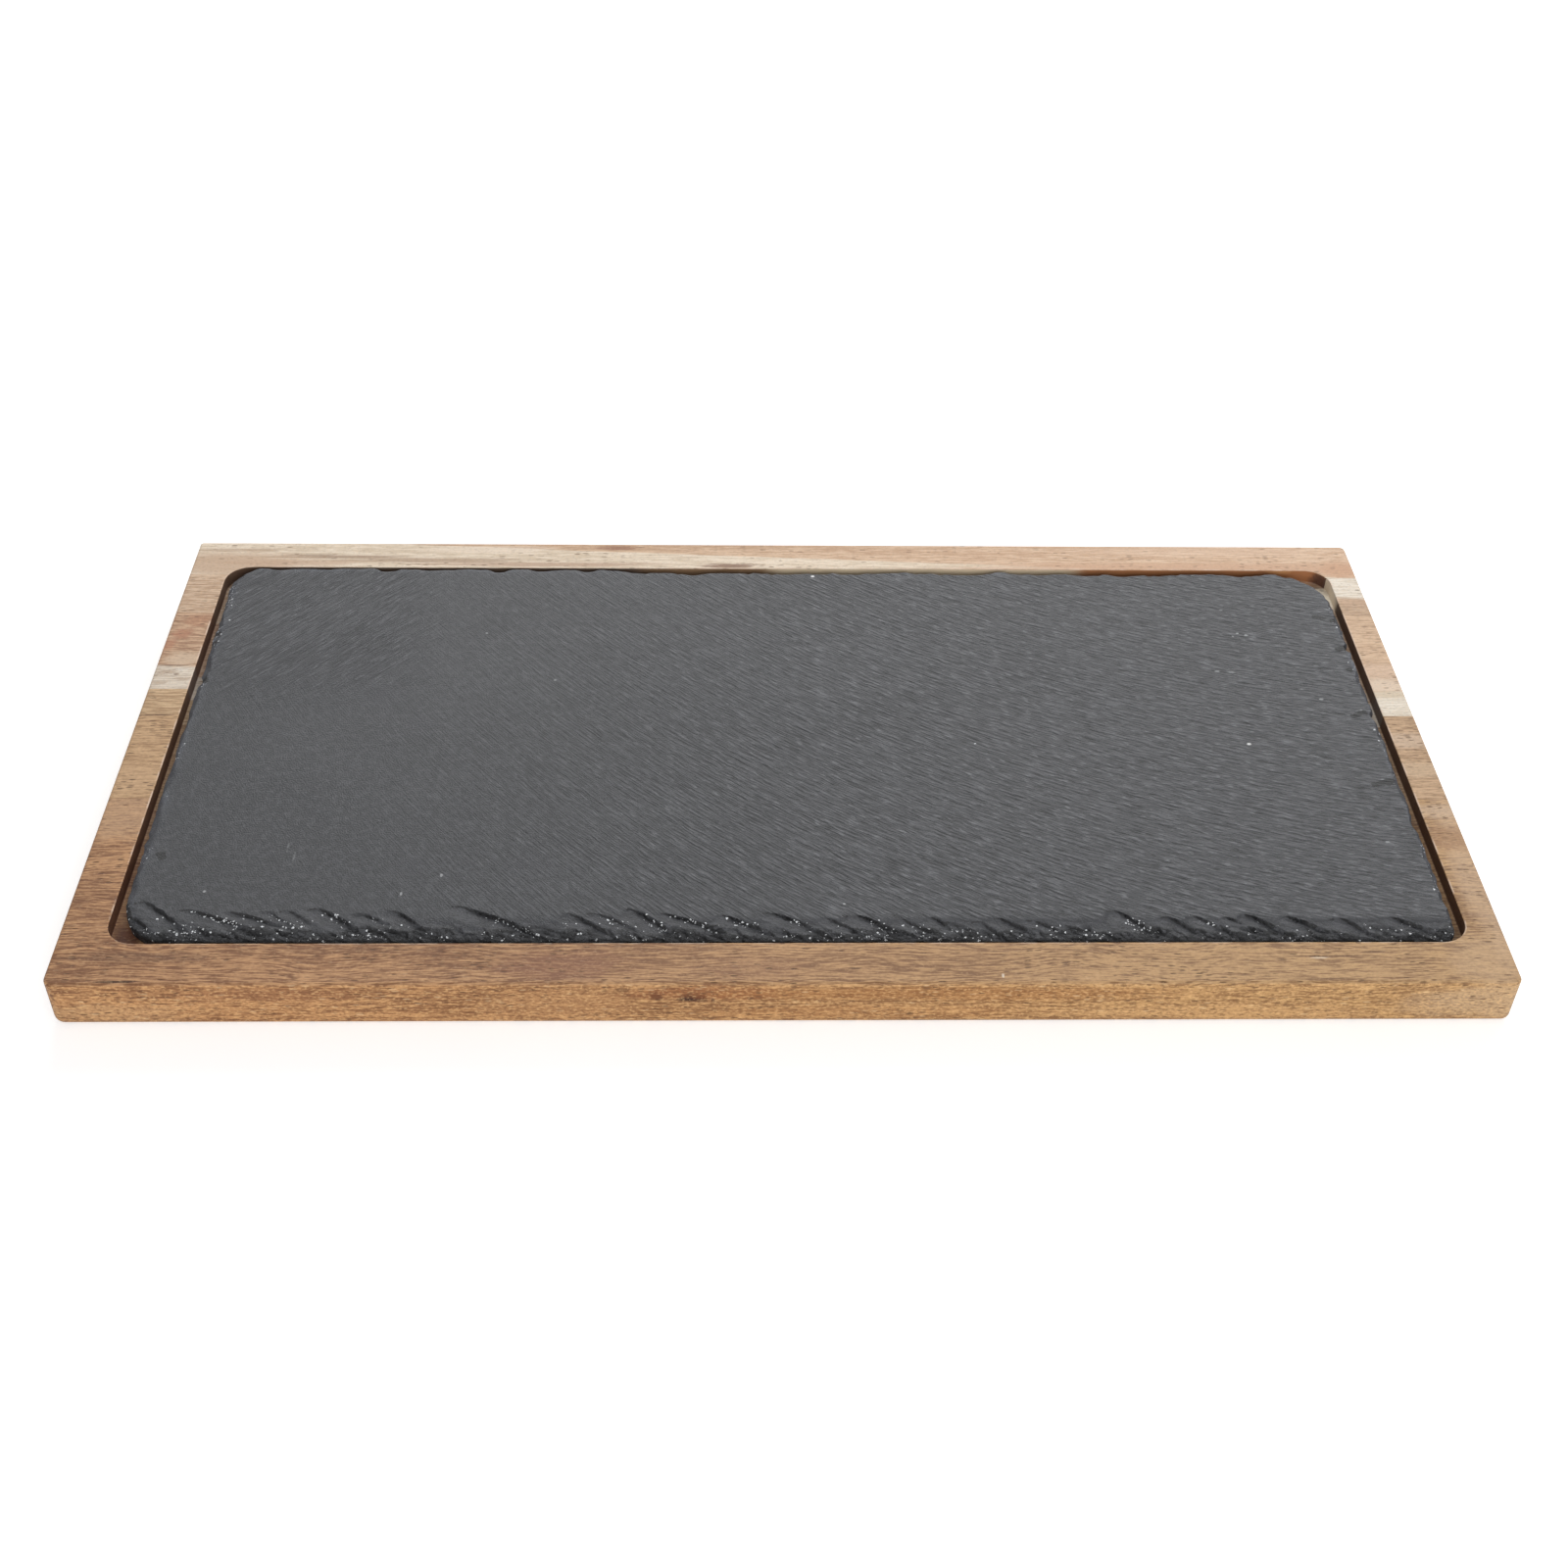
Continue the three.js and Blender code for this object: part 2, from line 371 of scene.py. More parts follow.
def ragged(along, bites, seed):
    """How far an edge is moved out: slow and quick noise along it, less its flat-bottomed bites."""
    out = 0.20 * lattice_noise(along / 7.0 + 50, 0 * along + 3, seed)
    out += 0.28 * lattice_noise(along / 1.6 + 90, 0 * along + 7, seed)
    for place, width, depth in bites:
        out -= depth * np.exp(-((2.0 * (along - place) / width) ** 4))
    return out


knocked_in = smooth_step(slab_x, -62.0, -42.0)
back_out = 0.55 - 1.05 * knocked_in + ragged(slab_x, BACK_BITES, 31)
left_out = ragged(slab_y, LEFT_BITES, 33) - 0.9 - 0.2 * smooth_step(-slab_y, 55.0, 80.0)
right_out = ragged(slab_y, RIGHT_BITES, 35) - 0.3 - 0.7 * smooth_step(-slab_y, -70.0, 60.0)
slab_y = slab_y + back_out * (1.0 - smooth_step(from_back, 0.0, BACK_REACH))
slab_x = slab_x - left_out * (1.0 - smooth_step(from_left, 0.0, SIDE_REACH))
slab_x = slab_x + right_out * (1.0 - smooth_step(from_right, 0.0, SIDE_REACH))
print("slab from x", slab_x.min().round(1), "to", slab_x.max().round(1))
print("slab from y", slab_y.min().round(1), "to", slab_y.max().round(1))

# %% [markdown]
# Slate splits along one plane, but not a perfect one: the split runs in short ripples. Here they turn
# evenly from steep at the left to nearly level at the right, and a second family rises at the back
# left. A Wave texture gives straight lines only, so the height is noise drawn out along a curve worked
# out for that turn.

# %% Riven ripples
FAN_MIDDLE = math.radians(-37.0)
FAN_TURN = math.radians(0.136)
BACK_LEFT_SLOPE = math.tan(math.radians(48.0))


def across_ripples(x, y):
    """A number that is the same all along a ripple: ripples turn evenly with x, from steep to flat."""
    return y + np.log(np.cos(FAN_MIDDLE + FAN_TURN * x)) / FAN_TURN


def ripples(across, along, seeds):
    """Waves of three lengths, each drawn out along the ripple."""
    broad = 0.035 * lattice_noise(across / 12.0 + 40, along / 34.0 + 9, seeds[0])
    waves = 0.03 * lattice_noise(across / 5.2 + 80, along / 13.0 + 17, seeds[1])
    small = 0.035 * lattice_noise(across / 2.7 + 120, along / 8.0 + 31, seeds[2])
    return broad + waves + small


def riven(x, y):
    """Ripple height: the fan, weak in the calm left half, and a second family at the back left."""
    bent = y + 1.6 * lattice_noise(x / 11.0 + 20, y / 11.0 + 60, 17)
    fan = ripples(across_ripples(x, bent), x, (11, 12, 13))
    fan_share = 0.3 + 0.7 * smooth_step(x, -130.0, 20.0)
    corner_wave = ripples(bent - BACK_LEFT_SLOPE * x, x, (14, 15, 16))
    corner_share = 0.9 * smooth_step(-x, 90.0, 130.0) * smooth_step(y, -10.0, 40.0)
    return fan * fan_share * (1.0 - corner_share) + corner_wave * corner_share


slab_ripples = riven(slab_x, slab_y)
print("ripples from", slab_ripples.min().round(3), "to", slab_ripples.max().round(3), "mm")

# %% [markdown]
# A flake leaves a shallow scar: it runs in gently from the left and ends at a sharp ridge that slants
# down to the right. Along the front edge the scars overlap like roof tiles. The large ones are placed
# one by one, as the photograph shows them, and small ones are drawn at random along the foot.

# %% Flake tables
# ridge from x, y to x, y in millimetres, width of the scar to its left, depth,
# and how crushed the ridge's lower end is
FRONT_FLAKES = [
    (-184.0, -77.8, -176.5, -83.0, 5, 0.9, 0.1), (-181.0, -72.8, -169.5, -80.9, 8, 1.0, 0.1),
    (-168.0, -76.3, -153.5, -81.6, 11, 0.8, 1.0), (-156.0, -77.3, -144.0, -81.0, 9, 0.8, 0.6),
    (-145.0, -77.0, -140.0, -80.5, 6, 0.5, 0.5), (-139.5, -76.8, -134.5, -80.0, 6, 0.5, 0.2),
    (-131.5, -75.8, -122.0, -81.5, 9, 1.0, 0.9), (-119.5, -78.0, -113.5, -80.6, 7, 0.6, 0.6),
    (-110.8, -76.8, -103.5, -81.4, 8, 0.9, 0.0), (-95.0, -74.6, -72.0, -84.0, 13, 1.1, 1.0),
    (-71.0, -82.6, -64.0, -84.6, 6, 0.4, 0.0), (-63.0, -77.6, -50.0, -85.0, 9, 0.9, 0.3),
    (-55.0, -77.8, -45.0, -82.5, 8, 0.5, 0.8), (-45.5, -75.8, -34.0, -83.6, 9, 1.0, 0.8),
    (-37.5, -77.8, -22.0, -82.8, 9, 0.8, 0.9), (-20.0, -78.5, -8.0, -83.5, 9, 0.9, 0.8),
    (-6.0, -77.7, 5.5, -82.6, 9, 0.7, 0.7), (10.0, -79.8, 17.0, -83.2, 6, 0.5, 0.1),
    (18.0, -78.7, 29.5, -84.0, 11, 0.9, 0.8), (31.0, -80.3, 38.5, -84.0, 6, 0.6, 0.3),
    (39.8, -79.6, 44.0, -82.6, 5, 0.7, 0.0), (45.4, -81.5, 48.5, -84.0, 5, 0.5, 0.0),
    (53.5, -81.2, 57.5, -84.5, 6, 0.6, 0.1), (57.5, -79.9, 66.5, -84.0, 8, 0.8, 0.0),
    (67.5, -80.8, 75.0, -84.0, 6, 0.7, 0.7), (75.5, -82.4, 83.5, -84.6, 7, 0.6, 0.0),
    (90.5, -76.9, 100.0, -83.4, 9, 0.9, 0.7), (105.5, -79.4, 113.0, -84.0, 8, 0.9, 0.1),
    (112.5, -79.2, 120.0, -83.0, 6, 0.6, 0.6), (122.5, -79.8, 126.0, -81.4, 4, 0.5, 0.0),
    (127.3, -78.5, 136.0, -83.0, 7, 1.0, 0.4), (139.4, -79.4, 147.5, -83.0, 7, 1.0, 0.0),
    (154.5, -80.2, 161.0, -84.0, 8, 0.9, 0.1), (162.5, -82.8, 168.0, -85.2, 5, 0.5, 0.0),
    (168.8, -79.8, 177.5, -83.4, 8, 0.9, 0.1),
]
draw = np.random.default_rng(22)
foot_x = np.arange(LEFT + 6.0, RIGHT, 4.1)
foot_x = foot_x + draw.uniform(-2.0, 2.0, len(foot_x))
foot_y = draw.uniform(-85.4, -82.4, len(foot_x))
foot_run = draw.uniform(1.5, 5.0, len(foot_x))
foot_fall = draw.uniform(1.4, 3.0, len(foot_x))
foot_size = draw.uniform([3.0, 0.35, -0.5], [7.0, 0.8, 0.8], (len(foot_x), 3))
foot_flakes = np.column_stack([foot_x, foot_y, foot_x + foot_run, foot_y - foot_fall, foot_size])
print("flakes:", len(FRONT_FLAKES), "large,", len(foot_flakes), "at the foot")

# %% [markdown]
# A flake could be cut with a boolean, but a hundred of them would leave a tangle of slivers. As heights
# they are easy: each scar has a depth at every point, and where scars overlap the deepest wins. The
# shade in the crease under each ridge is noted too, for the material to paint as a dark line.

# %% Flake scars
CREASE_SHADE_REACH = 1.0


def flakes(x, y, table, seed):
    """Depth, crease and crush of flake scars.

    With t the share of the way down a ridge, the ridge lies at x = top + (end - top) * t**0.8.
    Left of it the stone is cut, deepest at the ridge and less towards the scar's width, and the scar
    begins along an arch that falls away to the left. The crease shade is 1 on the ridge and on parts of
    the arch and falls evenly to 0 within a millimetre, so that the material can paint a sharp line of
    shade there.
    The crush gathers at the ridge's end.
    """
    waver = 0.45 * lattice_noise(x / 1.7 + 70, y / 1.7 + 30, seed)
    worn = smooth_step(lattice_noise(x / 3.1 + 15, y / 3.1 + 45, seed + 1), -0.3, 0.3)
    cut, crease_shade, crush = np.zeros((3, len(x)))
    for top_x, top_y, end_x, end_y, width, depth, crushed in table:
        t = (top_y - y) / (top_y - end_y)
        u = x - top_x - (end_x - top_x) * np.sign(t) * np.abs(t) ** 0.8 + waver
        back = np.clip(-u / width, 0.0, 1.0)
        scar = smooth_step(t - 0.45 * back**2, 0.0, 0.45) * (1.0 - smooth_step(t, 1.2, 2.2))
        wall = 1.0 - smooth_step(u, -0.1, 0.4)
        cut = np.maximum(cut, depth * scar * wall * (1.0 - back) ** 0.8)
        fall = top_y - end_y
        steep = fall / math.hypot(end_x - top_x, fall)
        line = np.clip(1.0 - steep * np.abs(u + 0.15) / CREASE_SHADE_REACH, 0.0, 1.0)
        line = line * smooth_step(t, -0.06, 0.12) * (1.0 - smooth_step(t, 0.95, 1.3))
        crease_shade = np.maximum(crease_shade, line * min(1.0, 0.72 + 0.35 * depth))
        arch = np.clip(1.0 - fall * np.abs(t - 0.45 * back**2 - 0.10) / CREASE_SHADE_REACH, 0.0, 1.0)
        shown = smooth_step(-u, 0.0, 0.6) * (1.0 - smooth_step(back, 0.4, 0.9))
        crease_shade = np.maximum(crease_shade, 0.92 * arch * worn * shown)
        cluster = np.exp(-(((t - 0.85) / 0.38) ** 2) - ((u + 0.8) / 2.2) ** 2)
        crush = np.maximum(crush, max(crushed, 0.0) * cluster)
    return cut, crease_shade, crush


large_cut, large_crease_shade, large_crush = flakes(slab_x, slab_y, FRONT_FLAKES, 21)
foot_cut, foot_crease_shade, foot_crush = flakes(slab_x, slab_y, foot_flakes, 23)
print("deepest scar", large_cut.max().round(2), "mm, at the foot", foot_cut.max().round(2), "mm")

# %% [markdown]
# Broken slate shows small flat faces, each tilted its own way. Blender's Voronoi texture has such
# cells, but as colours only, so here the cells are worked out as heights. Every point looks at the nine
# cells round it and takes the plane of the nearest seed.

# %% Facets
CELLS = 128
FACET_SLANT = 1.6


def facets(x, y, long, short, seed):
    """Flat facets: cells round scattered seeds, each a plane with its own level and tilt.

    The height is level / 2 + tilt_u * du + tilt_v * dv, where du and dv lead from the nearest seed,
    counted in cells that slant like the flakes.
    """
    draw = np.random.default_rng(seed)
    seed_u, seed_v = draw.uniform(0.1, 0.9, (2, CELLS, CELLS))
    tilt_u, tilt_v, level = draw.uniform(-1.0, 1.0, (3, CELLS, CELLS))
    u = (x + FACET_SLANT * y) / long
    v = y / short
    nearest = np.full(len(x), 9.0)
    height = np.zeros(len(x))
    for step_u in (-1, 0, 1):
        for step_v in (-1, 0, 1):
            i = np.floor(u).astype(int) + step_u
            j = np.floor(v).astype(int) + step_v
            cell = (i % CELLS, j % CELLS)
            du = u - i - seed_u[cell]
            dv = v - j - seed_v[cell]
            plane = 0.5 * level[cell] + tilt_u[cell] * du + tilt_v[cell] * dv
            height = np.where(du * du + dv * dv < nearest, plane, height)
            nearest = np.minimum(nearest, du * du + dv * dv)
    return height


slab_facet = facets(slab_x, slab_y, 3.4, 1.7, 45)
print("facets from", slab_facet.min().round(2), "to", slab_facet.max().round(2))

# %% [markdown]
# The front edge slopes down under its flakes and gets rougher towards the foot.
# The other three edges only have a narrow ragged bevel. What is broken, creased or rough is kept
# as numbers at the points, so that the material can follow the shape.

# %% Cut edges
EDGE_DROP = 3.2
FRONT_SLOPE_WIDTH = 10.0


def ragged_bevel(along, inward, width, roughness, depth, seed):
    """A narrow bevel whose width wanders: depth falls to nothing over that width."""
    wander = lattice_noise(along / 7.0 + 50, 0 * along + 3, seed)
    fine = lattice_noise(along / 1.7 + 90, 0 * along + 7, seed + 1)
    local = width * (1.0 + roughness * (0.7 * wander + 0.5 * fine))
    return depth * np.clip(1.0 - inward / np.clip(local, 0.3, None), 0.0, 1.0) ** 1.2


front_slope = 2.0 * np.clip(1.0 - from_front / FRONT_SLOPE_WIDTH, 0.0, 1.0) ** 2.2
near_foot = 0.35 + 0.65 * smooth_step(from_front, 0.0, 4.0)
front_cut = front_slope + near_foot * (np.maximum(large_cut, foot_cut) + 0.3 * foot_cut)
left_cut = ragged_bevel(slab_y, from_left, 2.4, 0.8, 1.4, 23)
right_cut = ragged_bevel(slab_y, from_right, 1.5, 0.8, 1.3, 25)
back_width = 0.9 + 0.9 * knocked_in
back_cut = ragged_bevel(slab_x, from_back, back_width, 0.9, 0.5 + 1.1 * knocked_in, 27)
deepest_cut = np.maximum.reduce([front_cut, left_cut, right_cut, back_cut])
slab_cut = np.clip(deepest_cut, 0.0, EDGE_DROP)
slab_chip = smooth_step(slab_cut, 0.04, 0.35)
torn = lattice_noise(slab_x / 5.0 + 10, slab_y / 3.0 + 10, 29)
slab_rough = smooth_step(4.6 - from_front + 2.0 * torn, 0.0, 2.6)
# Painted shade: the creases under the ridges, and a black line along the front foot for the shadowed gap.
slab_crease_shade = np.maximum(large_crease_shade, 0.93 * foot_crease_shade)
foot_shadow_line = np.clip(1.0 - from_front / (1.9 * CREASE_SHADE_REACH), 0.0, 1.0)
slab_crease_shade = np.maximum(slab_crease_shade, foot_shadow_line)
print("points on broken stone:", int((slab_chip > 0.5).sum()), "of", len(slab_chip))

# %% [markdown]
# Where the hammer struck, the stone was crushed to tiny facets, which the material paints with glints:
# at the lower ends of ridges, in a few places of their own, and in patches along the left and right edges.
# The outermost margin of the top is paler and bluer: partly worn by handling, partly a painted
# reflection of the bright surroundings on its bevel.

# %% Crushed places and pale margin
# middle x, y, half length, half width and strength of crushed places away from the ridges
CRUSHED = [
    (-166, -84.5, 6, 2.2, 0.9), (-137.5, -82.8, 3, 2, 0.8), (-108, -82.8, 3, 0.9, 0.7),
    (-115, -86, 4, 1.5, 0.5), (-61, -82.3, 2, 1, 0.6), (-43, -86, 1.5, 1, 0.5), (26, -86, 4, 1.2, 0.7),
    (84, -86.5, 5, 1.2, 0.7), (14, -85, 1, 0.7, 1.0), (38, -85.8, 1, 0.7, 1.0), (42, -87, 1, 0.6, 1.0),
]


def beside(inward, near, far):
    """1 nearer to an edge than near, 0 beyond far, and a smooth step between."""
    return 1.0 - smooth_step(inward, near, far)


slab_margin_wear_and_sheen = np.maximum(beside(from_left, 0.8, 5.0), 0.8 * beside(from_right, 0.5, 3.0))
slab_margin_wear_and_sheen = np.maximum(slab_margin_wear_and_sheen, 0.7 * beside(from_back, 0.4, 2.6))
slab_crush = np.maximum(large_crush, 0.8 * foot_crush)
side_crush = np.maximum(0.45 * beside(from_left, 1.0, 4.5), 0.4 * beside(from_right, 0.5, 3.5))
patchy = smooth_step(lattice_noise(slab_x / 4.0 + 9, slab_y / 6.0 + 9, 43), -0.2, 0.5)
slab_crush = np.maximum(slab_crush, side_crush * patchy)
for middle_x, middle_y, length, width, strength in CRUSHED:
    spread = ((slab_x - middle_x) / length) ** 2 + ((slab_y - middle_y) / width) ** 2
    slab_crush = np.maximum(slab_crush, strength * np.exp(-spread))
print("crushed points:", int((slab_crush > 0.3).sum()))

# %% [markdown]
# Now the height itself: the riven top, a little below the top of the frame's slab to leave room for
# ripples, less what the hammer cut away, with roughness and facets where the stone is broken.

# %% Slab height
RIPPLE_ROOM = 0.30
FOOT_ROOM = 0.4
LEAST_COVER = 0.02

fine_noise = lattice_noise(slab_x / 0.9 + 5, slab_y / 0.9 + 5, 41)
fine_noise = fine_noise + lattice_noise(slab_x / 2.1, slab_y / 2.1, 42)
slab_z = TOP - RIPPLE_ROOM + slab_ripples * (1.0 - slab_chip) - slab_cut
slab_z = slab_z + 0.10 * fine_noise * slab_rough
slab_z = slab_z + (0.10 * slab_chip + 0.26 * slab_rough) * slab_facet
slab_z = np.clip(slab_z, TOP - EDGE_DROP - FOOT_ROOM, TOP - LEAST_COVER)
print("slab height from", slab_z.min().round(2), "to", slab_z.max().round(2))

# %% [markdown]
# The two grids are sewn together by a row of many-sided faces: the fine one has five columns for each
# wide one. The border is then carried down to the foot in a few rows. They step in and out like the
# leaves of split slate.

# %% Slab points and faces
LEAF_ROWS = 4
LEAF_DEPTH = 0.22

band_index = np.arange(len(band_rows) * len(band_columns)).reshape(len(band_rows), -1)
top_index = band_index.size + np.arange(len(top_rows) * len(columns)).reshape(len(top_rows), -1)
seam = band_index[-1]
fine_side = [seam[k:-1:BAND_SPLIT] for k in range(BAND_SPLIT)] + [seam[BAND_SPLIT::BAND_SPLIT]]
seam_faces = np.stack(fine_side + [top_index[0, 1:], top_index[0, :-1]], axis=-1)
front_and_right = [band_index[0, :-1], band_index[:, -1], top_index[:-1, -1]]
back_and_left = [top_index[-1, :0:-1], top_index[:0:-1, 0], top_index[:1, 0], band_index[:0:-1, 0]]
rim = np.concatenate(front_and_right + back_and_left)
top_points = np.stack([slab_x, slab_y, slab_z], axis=-1)
rim_points = top_points[rim]
step = np.roll(rim_points, -1, axis=0) - np.roll(rim_points, 1, axis=0)
stride = np.linalg.norm(step[:, :2], axis=1)
inward = np.stack([-step[:, 1], step[:, 0]], axis=-1) / stride[:, None]
around = np.cumsum(stride) / 2.0
leaves = []
for row in range(1, LEAF_ROWS + 1):
    leaf = rim_points.copy()
    leaf[:, 2] = rim_points[:, 2] + (FOOT - rim_points[:, 2]) * row / LEAF_ROWS
    set_back = LEAF_DEPTH * (0.5 + 0.5 * lattice_noise(around / 3.0, 0 * around + 5.0 * row, 37))
    leaf[:, :2] += inward * set_back[:, None]
    leaves.append(leaf)
slab_points = np.concatenate([top_points] + leaves)
leaf_index = len(top_points) + np.arange(LEAF_ROWS * len(rim)).reshape(LEAF_ROWS, -1)
edge_index = np.concatenate([leaf_index[::-1], rim[None, :]])
edge_index = np.concatenate([edge_index, edge_index[:, :1]], axis=1)
slab_faces = quads(band_index) + quads(top_index) + seam_faces.tolist() + quads(edge_index)
slab_faces.append(leaf_index[-1, ::-1].tolist())
print("slab points", len(slab_points), "and faces", len(slab_faces))

# %% [markdown]
# The points become a mesh that stays at the origin, in the frame's own place, and rides on the slate
# body. Shading is smooth, but edges sharper than an angle stay crisp, as broken stone does. The numbers
# that the material needs go along as attributes; the second number of each is for the edge's rows.

# %% Slab mesh
SHARP_STONE = math.radians(36.0)


def new_piece(name, points, faces):
    """An object at the origin with these points, given in millimetres."""
    mesh = bpy.data.meshes.new(name)
    mesh.from_pydata((points * MM).tolist(), [], faces)
    mesh.validate()
    piece = bpy.data.objects.new(name, mesh)
    scene.collection.objects.link(piece)
    return piece


slab = new_piece("riven_slate", slab_points, slab_faces)
slab.data.shade_smooth()
slab.data.set_sharp_from_angle(angle=SHARP_STONE)
marks = {
    "chip": (slab_chip, 1.0),
    "rough": (slab_rough, 0.6),
    "crease_shade": (slab_crease_shade, 0.4),
    "crush": (slab_crush, 0.0),
    "facet": (0.5 + 0.5 * slab_facet, 0.5),
    "margin_wear_and_sheen": (slab_margin_wear_and_sheen * (0.4 + 0.6 * patchy), 0.0),
}
for name, (values, at_edge) in marks.items():
    mark = slab.data.attributes.new(name, "FLOAT", "POINT")
    mark.data.foreach_set("value", np.concatenate([values, np.full(leaf_index.size, at_edge)]))
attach(slab, "slate")
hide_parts("slate_slab")
print("slab triangles", sum(len(p.vertices) - 2 for p in slab.data.polygons))

# %% [markdown]
# The board is one profile carried round a closed path: along the underside, up the rounded edge, over
# the rim, down the pocket's wall and across its floor. Each step of the profile is a ring, and a ring
# is a rounded rectangle. Cubes with bevels and a boolean would give the same form, but rings keep the
# points in neat rows.

# %% Board in plan
# front right, back right, back left, front left
BOARD_CORNERS = np.array([2.6, 2.0, 1.2, 3.4])
POCKET_CORNERS = np.array([8.0, 8.0, 8.0, 8.0])
RIMS = {"front": 15.6, "back": 14.8, "left": 12.6, "right": 9.9}
LEAST_CORNER = 0.2
SIDE_STEPS = {"long": 160, "short": 84, "corner": 10}
STAVES = [
    "front_stave", "middle_front_stave", "narrow_stave", "middle_back_stave", "sapwood_stave", "back_stave",
]

stave_boxes = {name: [np.array(corner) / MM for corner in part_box(name)] for name in STAVES}
board_low = np.min([low for low, high in stave_boxes.values()], axis=0)
board_high = np.max([high for low, high in stave_boxes.values()], axis=0)
BOARD_TOP = board_high[2]
board_plan = np.array([board_low[0], board_high[0], board_low[1], board_high[1]])
pocket_plan = board_plan + np.array([RIMS["left"], -RIMS["right"], RIMS["front"], -RIMS["back"]])


def ring(plan, corner_radii, inset, height):
    """A rounded rectangle, anticlockwise from above: four quarter circles with even steps between them."""
    left, right, front, back = plan + inset * np.array([1.0, -1.0, 1.0, -1.0])
    r = np.maximum(corner_radii - inset, LEAST_CORNER)
    corners = np.array([[right, front], [right, back], [left, back], [left, front]])
    centres = corners + r[:, None] * np.array([[-1, 1], [-1, -1], [1, -1], [1, 1]])
    turn = np.linspace(0.0, 0.5 * np.pi, SIDE_STEPS["corner"] + 1)
    starts = np.array([-0.5, 0.0, 0.5, 1.0]) * np.pi
    angles = starts[:, None] + turn
    arcs = centres[:, None, :] + r[:, None, None] * np.stack([np.cos(angles), np.sin(angles)], axis=-1)
    loop = []
    for k, steps in enumerate(["short", "long", "short", "long"]):
        share = np.linspace(0.0, 1.0, SIDE_STEPS[steps] + 1)[1:-1, None]
        straight = arcs[k, -1] * (1 - share) + arcs[(k + 1) % 4, 0] * share
        loop += [arcs[k], straight]
    flat = np.concatenate(loop)
    return np.column_stack([flat, np.full(len(flat), height)])


print("board", board_plan.round(2).tolist(), "pocket", pocket_plan.round(2).tolist())

# %% [markdown]
# The profile is a list of rings from the underside to the pocket's floor, each with its inset and its
# height. A last pair of numbers says how far a ring belongs to the pocket's pale arris, worn and partly a
# painted highlight, and how far to its dark wall, burnished and partly painted shade, which also reaches
# a strip of the floor. Extra rings stand close beside every rounding, so that smooth shading stays
# within it.

# %% Board profile
UNDER_RADIUS = 2.5
TOP_RADIUS = 1.0
POCKET_DEPTH = 4.5
ARRIS_RADIUS = 0.24
FLOOR_FILLET = 0.3
# distance from the wall's foot and how dark the floor is painted there, as shade in the narrow gap
SHADED_FLOOR_STRIP = ((0.8, 0.32), (2.4, 0.4), (3.6, 0.1))

profile = []


def outer_ring(inset, height):
    """Adds a ring of the board's outline."""
    profile.append((board_plan, BOARD_CORNERS, inset, height, 0.0, 0.0))


def pocket_ring(inset, height, arris, wall):
    """Adds a ring of the pocket's outline."""
    profile.append((pocket_plan, POCKET_CORNERS, inset, height, arris, wall))


quarter = np.linspace(0.0, 0.5 * np.pi, 9)
outer_ring(UNDER_RADIUS + 0.4, 0.0)
for a in quarter:
    outer_ring(UNDER_RADIUS * (1 - math.sin(a)), UNDER_RADIUS * (1 - math.cos(a)))
outer_ring(0.0, UNDER_RADIUS + 0.6)
outer_ring(0.0, BOARD_TOP - TOP_RADIUS - 0.6)
for a in quarter:
    outer_ring(TOP_RADIUS * (1 - math.cos(a)), BOARD_TOP - TOP_RADIUS * (1 - math.sin(a)))
outer_ring(TOP_RADIUS + 0.5, BOARD_TOP)
pocket_ring(-ARRIS_RADIUS - 0.25, BOARD_TOP, 0.0, 0.0)
for a in quarter[::2]:
    pocket_ring(-ARRIS_RADIUS * (1 - math.sin(a)), BOARD_TOP - ARRIS_RADIUS * (1 - math.cos(a)), 1.0, 0.0)
pocket_ring(0.0, BOARD_TOP - ARRIS_RADIUS - 0.08, 0.0, 1.0)
pocket_floor = BOARD_TOP - POCKET_DEPTH
for a in quarter[::2]:
    height = pocket_floor + FLOOR_FILLET * (1 - math.sin(a))
    pocket_ring(FLOOR_FILLET * (1 - math.cos(a)), height, 0.0, 0.2 + 0.8 * math.cos(a))
for inset, floor_shade in SHADED_FLOOR_STRIP:
    pocket_ring(FLOOR_FILLET + inset, pocket_floor, 0.0, floor_shade)

board_rings = np.stack([ring(*step[:4]) for step in profile])
ring_count, ring_length = board_rings.shape[:2]
ring_index = np.arange(ring_count * ring_length).reshape(ring_count, ring_length)
board_faces = quads(np.concatenate([ring_index, ring_index[:, :1]], axis=1))
board_faces.append(list(range(ring_length))[::-1])
board_faces.append(list(range((ring_count - 1) * ring_length, ring_count * ring_length)))
print("board rings", ring_count, "of", ring_length)

# %% [markdown]
# The staves are cut from that board along its glue lines, as a saw would. Every cut is closed with a
# face of its own, so each stave is a solid piece, and the rows of points stay in line.

# %% Cut the board into staves
GLUE_LINE = 0.1
GLUE_SEEN = 0.03
SHARP_WOOD = math.radians(35.0)


def cut_away(mesh_edit, y, side):
    """Removes what lies beyond y on that side (1 behind, -1 in front) and closes the cut."""
    geometry = mesh_edit.verts[:] + mesh_edit.edges[:] + mesh_edit.faces[:]
    plane = {"plane_co": (0, y * MM, 0), "plane_no": (0, side, 0)}
    bmesh.ops.bisect_plane(mesh_edit, geom=geometry, dist=1e-7, clear_outer=True, **plane)
    edges = [edge for edge in mesh_edit.edges if edge.is_boundary]
    bmesh.ops.contextual_create(mesh_edit, geom=edges)


whole = new_piece("whole_board", board_rings.reshape(-1, 3), board_faces)
ring_marks = {
    "arris": [step[4] for step in profile],
    "wall": [step[5] for step in profile],
    "outer": [float(step[0] is board_plan and step[3] < BOARD_TOP - 0.3) for step in profile],
}
for name, values in ring_marks.items():
    mark = whole.data.attributes.new(name, "FLOAT", "POINT")
    mark.data.foreach_set("value", np.repeat(values, ring_length))

